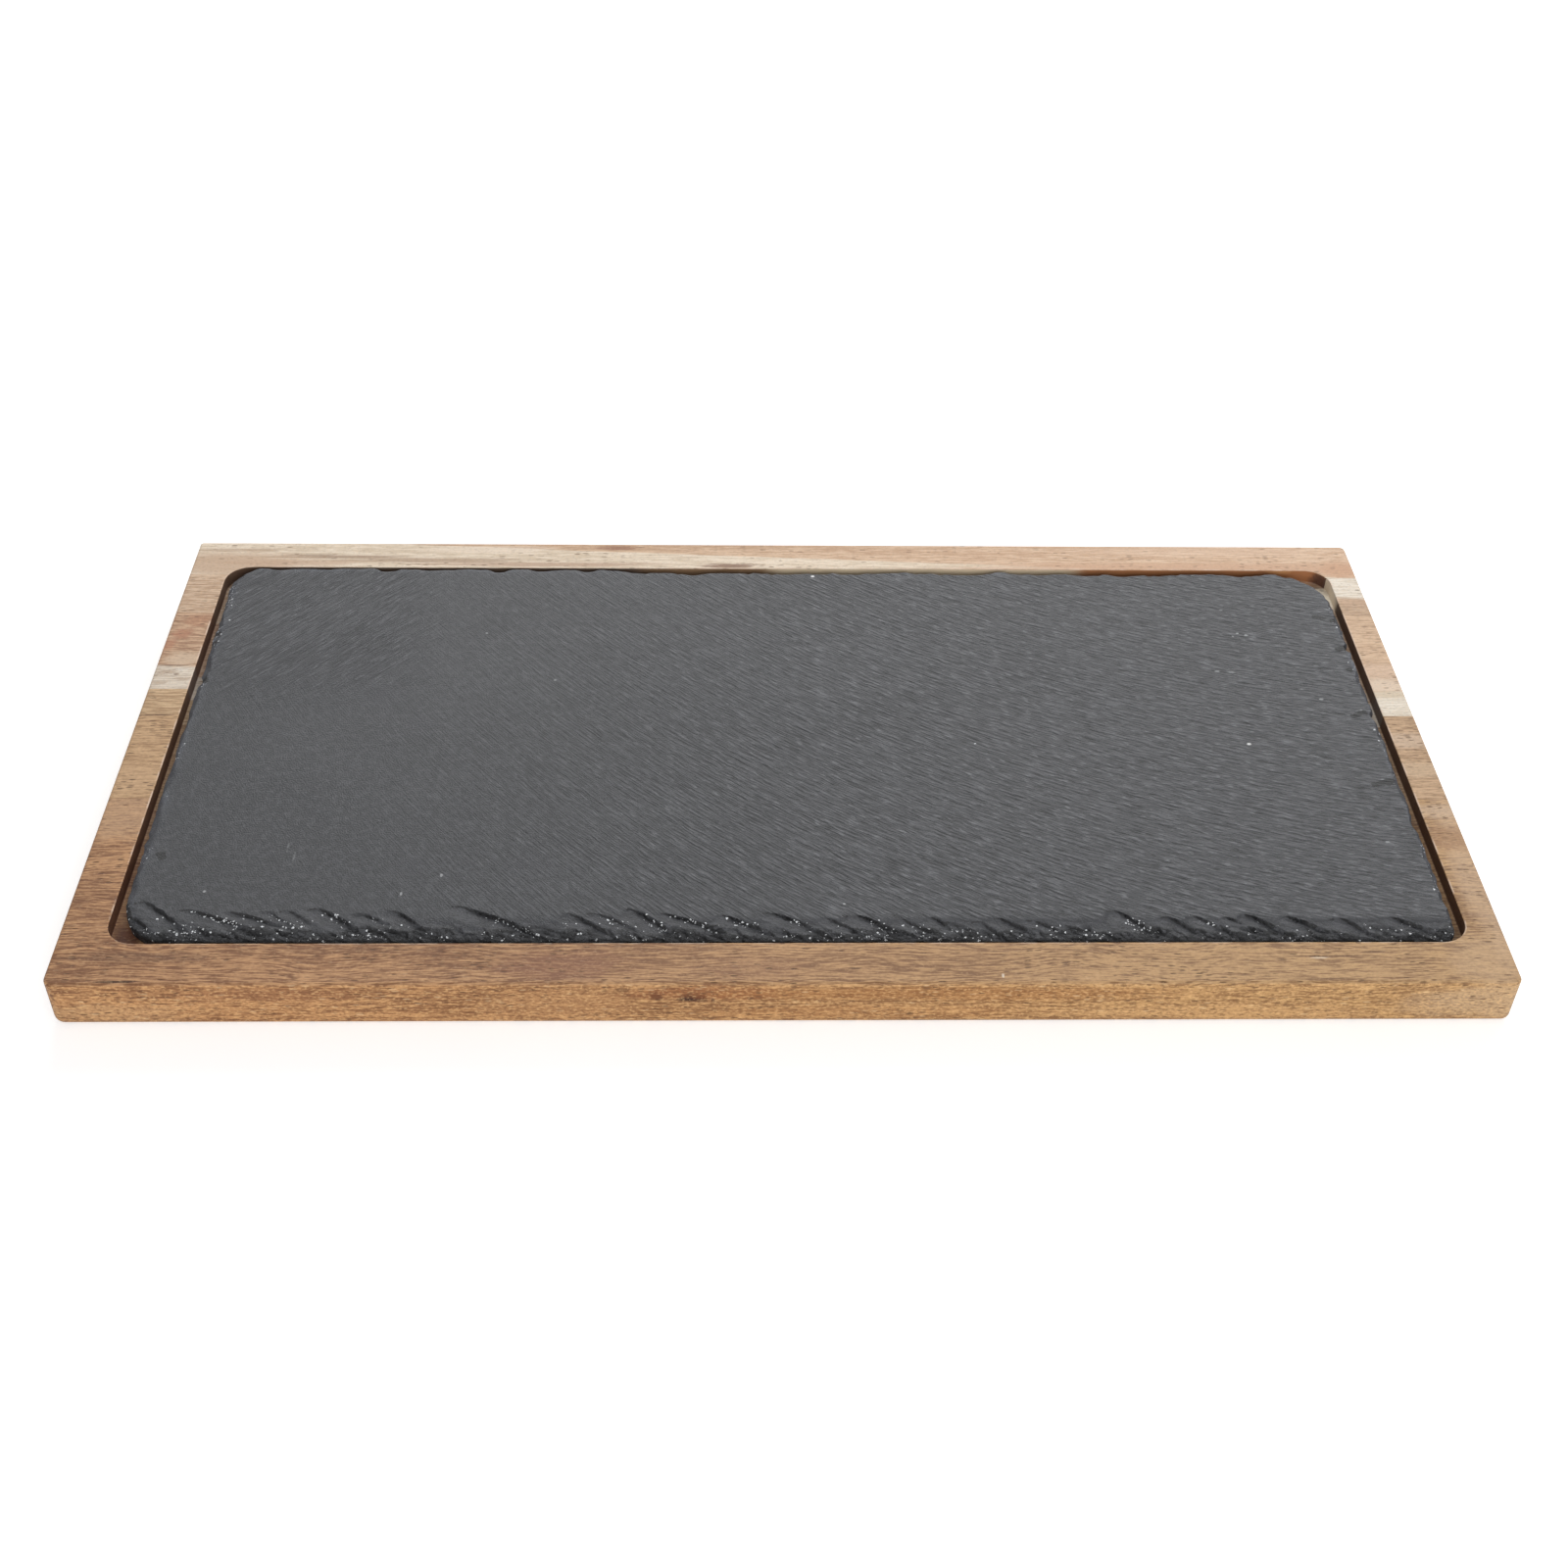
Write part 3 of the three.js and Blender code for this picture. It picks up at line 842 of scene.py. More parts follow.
wood_pieces = {}
for name in STAVES:
    low, high = stave_boxes[name]
    mesh_edit = bmesh.new()
    mesh_edit.from_mesh(whole.data)
    if low[1] > board_low[1] + 1.0:
        cut_away(mesh_edit, low[1] - GLUE_LINE / 2 + GLUE_SEEN / 2, -1)
    if high[1] < board_high[1] - 1.0:
        cut_away(mesh_edit, high[1] + GLUE_LINE / 2 - GLUE_SEEN / 2, 1)
    bmesh.ops.recalc_face_normals(mesh_edit, faces=mesh_edit.faces[:])
    mesh = bpy.data.meshes.new(name + "_wood")
    mesh_edit.to_mesh(mesh)
    mesh_edit.free()
    mesh.shade_smooth()
    mesh.set_sharp_from_angle(angle=SHARP_WOOD)
    stave = bpy.data.objects.new(name + "_wood", mesh)
    scene.collection.objects.link(stave)
    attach(stave, "board")
    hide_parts(name)
    wood_pieces[name] = stave
    print(name, "faces", len(mesh.polygons))
bpy.data.objects.remove(whole)

# %% [markdown]
# The patterns of wood and stone need a few more helpers. They mix colours, move and stretch places,
# and draw soft noise. Noise can be drawn out by stretching the place it is read from: a place divided
# by a length of 18 gives blobs 18 mm long. That is how fibres and ripples are made further on.

# %% Pattern helpers
def blend(tree, share, first, second):
    """The first colour where share is 0, the second where it is 1."""
    return add(tree, "Mix", {0: share, 6: first, 7: second}, data_type="RGBA").outputs[2]


def paint(tree, colour, mask, strength, shade):
    """A colour with a shade, given as on a screen, laid over it by the mask times a strength."""
    return blend(tree, times(tree, mask, strength), colour, screen_colour(*shade))


def stretch(tree, vector, scale):
    """A vector with each of its parts multiplied by its own number."""
    return add(tree, "VectorMath", {0: vector, 1: scale}, operation="MULTIPLY").outputs[0]


def moved(tree, vector, by):
    """A vector moved by another."""
    return add(tree, "VectorMath", {0: vector, 1: by}, operation="ADD").outputs[0]


def joined(tree, x, y, z=0.0):
    """Three numbers as one vector."""
    return add(tree, "CombineXYZ", {0: x, 1: y, 2: z}).outputs[0]


def cloud(tree, vector, detail=2.0, roughness=0.5):
    """Soft noise from 0 to 1, with one blob for each unit of the vector."""
    feeds = {"Vector": vector, "Scale": 1.0, "Detail": detail, "Roughness": roughness}
    return add(tree, "TexNoise", feeds).outputs[0]


def blobs(tree, place, size, detail=2.0, roughness=0.5):
    """Soft noise from 0 to 1, whose blobs have a size of their own along x, y and z."""
    shrink = tuple(1 / length for length in size)
    return cloud(tree, stretch(tree, place, shrink), detail, roughness)


def millimetres(tree):
    """Object coordinates in millimetres, which every pattern here is measured in."""
    place = add(tree, "TexCoord", {}).outputs["Object"]
    return stretch(tree, place, (1 / MM, 1 / MM, 1 / MM))


print("a pattern's unit is", MM, "m")

# %% [markdown]
# Wood is a solid pattern: the same rings, fibres and pores run through a stave and show on every face
# it is cut to. So the grain is worked out in millimetres of Object coordinates, and end grain comes out
# as dots by itself. Rings are bands of distance from a pith line that lies outside the stave and runs
# almost along it.

# %% Grain group
def new_group(name, inputs, outputs):
    """A shader node group with named sockets, and its input and output nodes."""
    group = bpy.data.node_groups.new(name, "ShaderNodeTree")
    for label, kind, value in inputs:
        socket = group.interface.new_socket(name=label, in_out="INPUT", socket_type="NodeSocket" + kind)
        socket.default_value = value
    for label, kind in outputs:
        group.interface.new_socket(name=label, in_out="OUTPUT", socket_type="NodeSocket" + kind)
    given = group.nodes.new("NodeGroupInput").outputs
    result = group.nodes.new("NodeGroupOutput").inputs
    return group, given, result


grain, given, result = new_group(
    "stave_grain",
    [
        ("Pith Y", "Float", 0.0),
        ("Pith Z", "Float", -60.0),
        ("Lean", "Float", 0.0),
        ("Ring", "Float", 4.0),
        ("Wave", "Float", 0.5),
        ("Pores", "Float", 0.5),
        ("Seed", "Float", 0.0),
    ],
    [(label, "Float") for label in ("Tone", "Pore", "Fleck", "Speck", "Roughness", "Height")],
)
place = millimetres(grain)
axis = add(grain, "SeparateXYZ", {0: place}).outputs
shift = joined(grain, times(grain, given["Seed"], 371.0), 0.0, given["Seed"])
own = moved(grain, place, shift)
print("the grain's values:", [socket.name for socket in given if socket.name])

# %% [markdown]
# Where a tree twisted, its fibres sway up and down instead of running straight.
# Growth rings are bands of distance from the pith, bent by slow noise and by the same sway.
# A Wave texture set to rings could draw them, but noise over that distance gives bands of uneven width.

# %% Sway and growth rings
sway = blobs(grain, own, (34, 16, 16), 1.0)
sway = times(grain, minus(grain, sway, 0.5), times(grain, given["Wave"], 4.0))
swayed = joined(grain, 0.0, sway, times(grain, sway, 0.6))
own = moved(grain, own, swayed)
own_axis = add(grain, "SeparateXYZ", {0: own}).outputs
bend = blobs(grain, own, (120, 30, 30), 2.0)
bend = times(grain, minus(grain, bend, 0.5), 13.0)
pith_y = plus(grain, given["Pith Y"], times(grain, given["Lean"], axis["X"]))
side_way = plus(grain, plus(grain, minus(grain, axis["Y"], pith_y), bend), sway)
down_way = minus(grain, axis["Z"], given["Pith Z"])
spoke = joined(grain, side_way, down_way)
radius = length_of(grain, spoke)
ring_number = calc(grain, "DIVIDE", radius, given["Ring"])
band_place = joined(grain, ring_number, times(grain, own_axis["X"], 1 / 150), given["Seed"])
band = cloud(grain, band_place, 4.0, 0.6)
print("nodes so far", len(grain.nodes))

# %% [markdown]
# Fibres are noise drawn out along the stave, coarse and fine, and specks are the ends of cut fibres.
# Pores are thin cells along the fibre. Some are open and dark, and fewer are filled and catch the light,
# so each cell draws a lot: whether it is there, how strong it is, and whether it is pale.

# %% Fibres and pores
fibre = blobs(grain, own, (18, 0.72, 0.72), 2.0, 0.6)
hair = blobs(grain, own, (5.0, 0.5, 0.5), 1.0, 0.5)
streak = plus(grain, times(grain, fibre, 0.44), times(grain, hair, 0.56))
tone = plus(grain, times(grain, band, 0.30), times(grain, streak, 0.70))
grain.links.new(ease(grain, tone, 0.42, 0.58), result["Tone"])
speck = blobs(grain, own, (1.1, 0.55, 0.55), 1.0)
grain.links.new(speck, result["Speck"])
cells = {"Vector": stretch(grain, own, (1 / 3.2, 1 / 0.66, 1 / 0.66)), "Scale": 1.0}
vessel = add(grain, "TexVoronoi", cells)
opening = minus(grain, 1.0, ease(grain, vessel.outputs["Distance"], 0.22, 0.42))
lot = add(grain, "SeparateColor", {0: vessel.outputs["Color"]}).outputs
crowd = blobs(grain, own, (40, 7, 7), 1.0)
share = times(grain, given["Pores"], ease(grain, crowd, 0.3, 0.7))
chosen = calc(grain, "LESS_THAN", lot[0], share)
strong = times(grain, opening, chosen)
strong = times(grain, strong, plus(grain, times(grain, lot[1], 0.6), 0.4))
light = calc(grain, "GREATER_THAN", lot[2], 0.74)
fleck = times(grain, strong, light)
pore = minus(grain, strong, fleck)
grain.links.new(pore, result["Pore"])
grain.links.new(fleck, result["Fleck"])
grain.links.new(plus(grain, 0.46, times(grain, streak, 0.25)), result["Roughness"])
relief = minus(grain, times(grain, streak, 0.6), pore)
grain.links.new(relief, result["Height"])
print("group", grain.name, "has", len(grain.nodes), "nodes")

# %% [markdown]
# Acacia heartwood is brown to pink, and the young sapwood round it is cream, with a clear edge between
# them. Where that edge runs at a slant to the stave it shows as a long wedge, so the edge is a leaning
# line in plan.

# %% Sapwood group
LEFT_END = -200.0
RIGHT_END = 200.0

sapwood, given, result = new_group(
    "sapwood_edge",
    [
        ("Left end", "Float", 0.0),
        ("Right end", "Float", 0.0),
        ("Softness", "Float", 1.0),
        ("Side", "Float", 1.0),
    ],
    [("Mask", "Float")],
)
place = millimetres(sapwood)
axis = add(sapwood, "SeparateXYZ", {0: place}).outputs
ends = {0: axis["X"], 1: LEFT_END, 2: RIGHT_END, 3: given["Left end"], 4: given["Right end"]}
along = add(sapwood, "MapRange", ends).outputs[0]
waver = blobs(sapwood, place, (45, 6, 12), 3.0)
edge = plus(sapwood, along, times(sapwood, minus(sapwood, waver, 0.5), 1.6))
beyond = times(sapwood, minus(sapwood, axis["Y"], edge), given["Side"])
mask = ease(sapwood, beyond, times(sapwood, given["Softness"], -1.0), given["Softness"])
sapwood.links.new(mask, result["Mask"])
print("group", sapwood.name, "has", len(sapwood.nodes), "nodes")

# %% [markdown]
# Some marks are in one place only: a knot, a stain, a crack. A patch is an ellipsoid with a ragged
# edge; its mask fades from the centre and is torn by noise. A painted image could hold such marks, but
# a patch stays sharp at any size and follows the wood round corners.

# %% Patch group
def from_centre(tree, place, centre, size):
    """The way from a centre to each place, counted in half sizes."""
    offset = add(tree, "VectorMath", {0: place, 1: centre}, operation="SUBTRACT").outputs[0]
    return add(tree, "VectorMath", {0: offset, 1: size}, operation="DIVIDE").outputs[0]


patch, given, result = new_group(
    "patch",
    [
        ("Centre", "Vector", (0.0, 0.0, 0.0)),
        ("Size", "Vector", (1.0, 1.0, 1.0)),
        ("Ragged", "Float", 0.5),
    ],
    [("Mask", "Float")],
)
scaled = from_centre(patch, millimetres(patch), given["Centre"], given["Size"])
reach = length_of(patch, scaled)
tear = cloud(patch, stretch(patch, scaled, (2.2, 2.2, 2.2)), 4.0, 0.65)
tear = times(patch, minus(patch, tear, 0.5), times(patch, given["Ragged"], 3.0))
mask = minus(patch, 1.0, ease(patch, plus(patch, reach, tear), 0.4, 1.0))
patch.links.new(mask, result["Mask"])
print("group", patch.name, "has", len(patch.nodes), "nodes")

# %% [markdown]
# Every stave gets the same groups with its own values, because no two boards from a tree look alike.
# The table holds, for each stave, its light and dark tone at the left and at the right end, where its
# pith lies, how far that leans, how wide its rings are, how much its fibres sway, its share of open
# pores and a seed.

# %% Stave table
HEART = {
    "front_stave": {
        "left": ((196, 150, 109), (128, 88, 61)),
        "right": ((194, 156, 112), (136, 101, 68)),
        "grain": (-80.0, -46.0, 0.02, 5.0, 1.3, 0.75, 1.3),
    },
    "middle_front_stave": {
        "left": ((203, 167, 128), (152, 117, 84)),
        "right": ((202, 168, 134), (158, 126, 93)),
        "grain": (0.0, -70.0, 0.0, 5.0, 0.6, 0.7, 2.7),
    },
    "narrow_stave": {
        "left": ((216, 185, 147), (170, 137, 103)),
        "right": ((202, 168, 134), (158, 126, 93)),
        "grain": (30.0, -50.0, 0.01, 4.0, 0.5, 0.6, 3.9),
    },
    "middle_back_stave": {
        "left": ((211, 176, 145), (160, 122, 95)),
        "right": ((216, 185, 154), (182, 148, 118)),
        "grain": (52.0, -30.0, 0.02, 5.0, 1.2, 0.7, 5.1),
    },
    # The two back staves' tones are lighter and greyer than their wood, partly painted sheen from behind.
    "sapwood_stave": {
        "left": ((221, 194, 167), (182, 150, 122)),
        "right": ((204, 175, 147), (166, 135, 107)),
        "grain": (60.0, -80.0, 0.0, 3.5, 0.3, 0.5, 6.4),
    },
    "back_stave": {
        "left": ((213, 182, 151), (176, 139, 107)),
        "right": ((224, 194, 166), (196, 160, 129)),
        "grain": (130.0, -40.0, -0.03, 4.0, 0.3, 0.32, 7.2),
    },
}
GRAIN_INPUTS = ["Pith Y", "Pith Z", "Lean", "Ring", "Wave", "Pores", "Seed"]
print("staves in the table:", len(HEART))

# %% [markdown]
# Four of the staves reach into sapwood. The table gives the place of its edge at both ends of the tray,
# how soft that edge is, on which side the cream lies, and the cream's light and dark tone.

# %% Sapwood table
SAPWOOD = {
    "narrow_stave": (4.0, 22.5, 0.9, -1.0, (240, 230, 215), (218, 205, 186)),
    "middle_back_stave": (35.0, 12.0, 1.0, -1.0, (232, 219, 202), (200, 184, 166)),
    "sapwood_stave": (102.0, 73.3, 1.4, 1.0, (238, 228, 213), (212, 198, 178)),
    "back_stave": (108.0, 85.7, 0.35, -1.0, (238, 222, 201), (210, 191, 166)),
}
print("staves with sapwood:", sorted(SAPWOOD))

# %% [markdown]
# Knots, stains, cracks and streaks sit where the photograph shows them. Each row is one patch: its
# middle and half size in millimetres, how ragged its edge is, its tint and its strength. Large faint
# patches shift the tone of a whole stretch, and small strong ones are knots and cracks.

# %% Patch table
PATCHES = {
    "front_stave": [
        ((-175, -94.5, 16), (30, 2.6, 5), 0.5, (104, 76, 60), 0.42),
        ((-120, -92, 16), (40, 1.6, 5), 0.6, (120, 88, 66), 0.2),
        ((-62, -98, 16), (24, 7, 4), 0.5, (142, 98, 78), 0.45),
        ((-10, -99, 16), (22, 5, 4), 0.6, (146, 106, 80), 0.35),
        ((-180, -103.7, 16), (8, 0.6, 1), 0.8, (44, 24, 18), 0.9),
        ((148, -94.9, 16), (16, 0.45, 1), 0.6, (92, 60, 40), 0.8),
        ((146, -95.5, 16), (3.5, 0.4, 1), 0.5, (236, 216, 190), 0.7),
        ((162, -93.2, 16), (5, 0.4, 1), 0.5, (86, 56, 38), 0.8),
        ((186, -91.6, 16), (6, 0.4, 1), 0.6, (96, 64, 44), 0.7),
        ((148, -103.4, 16), (10, 0.4, 1), 0.7, (96, 64, 42), 0.7),
        ((18, -99.2, 16), (2.6, 0.4, 1), 0.4, (70, 42, 28), 0.8),
        ((58, -102, 16), (0.5, 1.0, 1), 0.4, (236, 222, 204), 0.8),
        ((-26, -105, 10.5), (5.4, 3, 2.0), 0.45, (66, 34, 21), 0.95),
        ((-27.6, -105, 10.8), (2.9, 3, 1.9), 0.25, (40, 15, 9), 1.0),
        ((-23.6, -105, 10.9), (1.9, 3, 1.1), 0.3, (44, 20, 13), 0.95),
        ((-20.6, -105, 9.6), (0.7, 3, 1.2), 0.4, (66, 36, 22), 0.9),
        ((-36, -105, 11.2), (2.6, 3, 2.0), 0.4, (62, 33, 21), 0.9),
        ((-45, -105, 13.5), (3, 3, 2.2), 0.9, (80, 46, 28), 0.6),
        ((199, -60, 16), (9, 45, 30), 0.2, (214, 183, 152), 0.5),
        # Painted shade: the pocket floor at the front left corner, darker and redder.
        ((-183, -84, 11.5), (6, 9, 2), 0.3, (104, 58, 38), 0.85),
        ((-194, -36, 16), (18, 15, 12), 0.3, (200, 164, 130), 0.6),
        ((194, -96, 16), (16, 13, 6), 0.3, (208, 175, 139), 0.45),
        ((195, -35, 16), (10, 4, 8), 0.3, (208, 182, 156), 0.5),
        ((195, -47, 16), (10, 7, 8), 0.4, (164, 124, 88), 0.7),
        ((195, -105, 8), (34, 3, 9), 0.3, (190, 164, 138), 0.7),
        ((-185, -105, 4.5), (30, 3, 5), 0.4, (202, 162, 124), 0.6),
        ((-62, -105, 8), (28, 3, 8), 0.3, (194, 150, 110), 0.5),
        ((-22, -105, 12.5), (28, 3, 3.4), 0.6, (142, 86, 54), 0.55),
        ((120, -105, 4.5), (60, 3, 4), 0.4, (208, 168, 124), 0.5),
        ((45, -105, 12), (85, 3, 3.6), 0.3, (152, 102, 58), 0.46),
        ((20, -105, 5), (60, 3, 3.6), 0.3, (204, 152, 104), 0.25),
        ((-140, -105, 12), (32, 3, 3.6), 0.4, (150, 104, 76), 0.4),
    ],
    "middle_front_stave": [
        ((-194, 9.6, 16), (8, 0.45, 6), 0.5, (84, 56, 40), 0.85),
        ((-194, -20, 16), (14, 9, 8), 0.3, (212, 176, 138), 0.5),
        ((195, -16, 16), (12, 5, 10), 0.3, (214, 187, 156), 0.5),
        ((195, -2, 16), (12, 5, 8), 0.3, (212, 187, 163), 0.6),
    ],
    "narrow_stave": [
        ((195, 21.0, 16), (12, 2.5, 8), 0.4, (206, 186, 158), 0.7),
    ],
    "middle_back_stave": [
        ((195, 25, 16), (14, 6.5, 10), 0.3, (230, 210, 188), 0.75),
        ((195, 33.5, 16), (12, 5, 8), 0.3, (224, 196, 172), 0.5),
        ((-191.5, 59, 16), (5.5, 4.0, 12), 0.5, (176, 124, 94), 0.5),
        ((-195, 52, 16), (4.5, 3.4, 12), 0.5, (176, 118, 90), 0.6),
        ((-198.5, 46, 16), (3.4, 4.0, 12), 0.5, (178, 120, 92), 0.6),
        ((-192, 38.5, 16), (8, 5.0, 12), 0.4, (218, 194, 168), 0.7),
        ((-194, 34.9, 16), (7, 0.45, 6), 0.6, (112, 86, 68), 0.75),
        ((-196, 31.5, 16), (5, 1.3, 6), 0.9, (176, 152, 130), 0.6),
        ((-190, 28.0, 16), (4, 0.9, 6), 0.9, (168, 142, 118), 0.6),
        ((-197, 25.8, 16), (4, 0.8, 6), 0.9, (182, 158, 134), 0.6),
        ((-191, 32.6, 16), (3, 0.7, 6), 0.9, (236, 228, 216), 0.6),
    ],
    "sapwood_stave": [
        ((196, 71.4, 16), (10, 2.6, 12), 0.3, (194, 160, 132), 0.5),
        # Painted light: the cream floor in the back right corner, brighter than the sapwood in the shaded
        # pocket.
        ((186, 79, 11.5), (7, 9, 2), 0.2, (250, 242, 224), 0.9),
    ],
    "back_stave": [
        ((-55, 102.2, 16), (10, 1.7, 4), 0.6, (138, 92, 66), 0.8),
        ((-16, 91.7, 16), (13, 1.9, 3), 0.6, (118, 82, 60), 0.85),
        ((-150, 96.3, 16), (34, 1.1, 4), 0.7, (138, 106, 82), 0.7),
        ((-118, 94.4, 16), (46, 1.7, 4), 0.6, (160, 132, 108), 0.7),
        ((-80, 92.2, 16), (60, 1.6, 4), 0.6, (174, 140, 116), 0.7),
        ((-165, 92.7, 16), (34, 2.2, 4), 0.5, (190, 154, 126), 0.6),
        ((-186, 100.2, 16), (24, 1.2, 4), 0.6, (172, 142, 116), 0.55),
        ((-114, 104.7, 15.6), (9, 0.5, 1), 0.5, (116, 94, 74), 0.7),
        ((-60, 104.7, 15.6), (10, 0.5, 1), 0.6, (104, 70, 54), 0.8),
        ((-160, 97.4, 16), (14, 0.5, 2), 0.6, (140, 112, 90), 0.6),
        ((140, 91, 16), (100, 4.6, 8), 0.3, (206, 166, 136), 0.75),
        ((195, 90.5, 16), (9, 7, 4), 0.3, (200, 156, 124), 0.75),
        ((-100, 101, 16), (32, 3, 4), 0.4, (238, 220, 200), 0.6),
        ((150, 101.5, 16), (66, 3.5, 4), 0.3, (232, 204, 180), 0.3),
        ((-188, 92.0, 16), (36, 9, 30), 0.2, (196, 165, 138), 0.8),
    ],
}
print("patches:", {name: len(rows) for name, rows in PATCHES.items()})

# %% [markdown]
# The pocket's wall is painted dark: partly wood the router burnished, partly painted shade in the gap
# round the slab. At the back, where it runs into sapwood, it is paler.
# This table gives the wall's colour from a place along x onwards.

# %% Wall table
BURNISHED_AND_SHADED = [(LEFT_END, (56, 26, 17))]
WALLS = {
    "sapwood_stave": [(LEFT_END, (58, 34, 24)), (150.0, (226, 208, 182))],
    "back_stave": [
        (LEFT_END, (66, 42, 28)),
        (-46.0, (140, 106, 74)),
        (-2.0, (230, 210, 178)),
        (103.0, (166, 106, 62)),
    ],
}
WALL_FADE = 5.0
# middle, half size and colour of places on the wall: heartwood above the sapwood's edge,
# a cream floor painted brighter than the wood as a pool of light, and a corner painted dark as shade
WALL_PATCHES = {
    "sapwood_stave": [
        ((189.8, 67.0, 14), (6, 8.5, 20), (58, 34, 24)),
        ((186, 79, 11.5), (5, 8, 1.6), (250, 242, 224)),
        ((188.4, 84.6, 11.5), (1.1, 1.0, 2), (24, 13, 9)),
        ((187.4, 86.0, 11.5), (0.6, 0.5, 2), (60, 40, 26)),
    ],
    "back_stave": [
        ((187.8, 86.8, 12.5), (5.4, 5.0, 6), (72, 32, 19)),
        ((174.0, 90.2, 16), (6, 3, 2.4), (196, 136, 84)),
    ],
}
print("walls of their own colour:", sorted(WALLS))

# %% [markdown]
# The colour of a stave is built up in the order in which wood gets it. First comes the heartwood,
# between its light and dark tone, then sapwood, then knots and stains. A long stave is never one
# colour, so both tones drift from the left end to the right.

# %% Plain wood
def use_group(tree, shared, values):
    """Puts a shared group into a material with its own values, and gives the group's outputs."""
    node = add(tree, "Group", {}, node_tree=shared)
    for label, value in values.items():
        node.inputs[label].default_value = value
    return node.outputs


DRIFT = (-170.0, 170.0)


def plain_wood(tree, name, heart, x):
    """Heartwood whose tones drift from the left end to the right, then sapwood and patches.

    Gives the light and the dark tone, and the colour.
    """
    rightward = ease(tree, x, *DRIFT)
    tones = [
        blend(tree, rightward, screen_colour(*left), screen_colour(*right))
        for left, right in zip(HEART[name]["left"], HEART[name]["right"])
    ]
    colour = blend(tree, heart["Tone"], tones[1], tones[0])
    if name in SAPWOOD:
        left, right, softness, side, light, dark = SAPWOOD[name]
        edge = {"Left end": left, "Right end": right, "Softness": softness, "Side": side}
        mask = use_group(tree, sapwood, edge)["Mask"]
        cream = blend(tree, heart["Tone"], screen_colour(*dark), screen_colour(*light))
        colour = blend(tree, mask, colour, cream)
    for centre, size, torn, tint, strength in PATCHES.get(name, []):
        mask = use_group(tree, patch, {"Centre": centre, "Size": size, "Ragged": torn})["Mask"]
        colour = paint(tree, colour, mask, strength, tint)
    return tones, colour


print("tones drift between x", DRIFT[0], "and", DRIFT[1])

# %% [markdown]
# Pores and specks lie over all of that, and show most on the outer faces, which were only sawn and
# sanded. The outer faces are also painted a little yellower than the top, a painted difference of light:
# the top catches the grey sheen of the lamps and they do not. A tint that multiplies does this best,
# because it darkens blue most and leaves red alone.

# %% Pores and painted side tint
# Painted light: a yellow tint on the outer faces, standing in for the grey sheen only the top catches.
SIDE_SHEEN_TINT = (1.0, 0.95, 0.82, 1.0)


def kept(tree, name):
    """A number that was kept at the points of the mesh."""
    return add(tree, "Attribute", {}, attribute_name=name).outputs["Fac"]


def pored_wood(tree, heart, dark, colour):
    """Dark pores, specks and pale flecks, and outer faces painted yellower for the sheen they lack."""
    outer_face = kept(tree, "outer")
    colour = blend(tree, heart["Pore"], colour, blend(tree, 0.6, dark, screen_colour(40, 24, 16)))
    speck_level = plus(tree, 0.22, times(tree, outer_face, 0.33))
    dark_speck = times(tree, ease(tree, heart["Speck"], 0.54, 0.68), speck_level)
    colour = blend(tree, dark_speck, colour, blend(tree, 0.4, dark, screen_colour(60, 34, 20)))
    pale_speck = minus(tree, 1.0, ease(tree, heart["Speck"], 0.32, 0.46))
    pale_speck = times(tree, pale_speck, times(tree, speck_level, 0.7))
    colour = blend(tree, pale_speck, colour, screen_colour(238, 198, 150))
    fleck_level = plus(tree, 0.10, times(tree, outer_face, 0.34))
    colour = paint(tree, colour, heart["Fleck"], fleck_level, (244, 220, 186))
    side_tinted = {0: outer_face, 6: colour, 7: SIDE_SHEEN_TINT}
    return add(tree, "Mix", side_tinted, data_type="RGBA", blend_type="MULTIPLY").outputs[2]


print("oil keeps", SIDE_SHEEN_TINT[:3], "of the red, green and blue light")

# %% [markdown]
# One function then builds the material of any stave: its wood, a pocket wall painted dark, partly
# burnished by the router and partly painted shade, and a pale arris, partly where sanding went through
# the oil and partly a painted highlight. The bump comes from the fibres and pores.

# %% Wood materials
WORN_AND_LIT_ARRIS = screen_colour(232, 206, 184)
WALL_TEAR = 0.25
WOOD_BUMP = 0.2 * MM
WOOD_SPECULAR = 0.3


def wall_colour(tree, name, x):
    """The wall's colours one after another along x, then its patches."""
    stops = WALLS.get(name, BURNISHED_AND_SHADED)
    burnish_and_shade = screen_colour(*stops[0][1])
    for start, tint in stops[1:]:
        passed = ease(tree, x, start - WALL_FADE, start + WALL_FADE)
        burnish_and_shade = blend(tree, passed, burnish_and_shade, screen_colour(*tint))
    for centre, size, tint in WALL_PATCHES.get(name, []):
        mask = use_group(tree, patch, {"Centre": centre, "Size": size, "Ragged": WALL_TEAR})["Mask"]
        burnish_and_shade = blend(tree, mask, burnish_and_shade, screen_colour(*tint))
    return burnish_and_shade


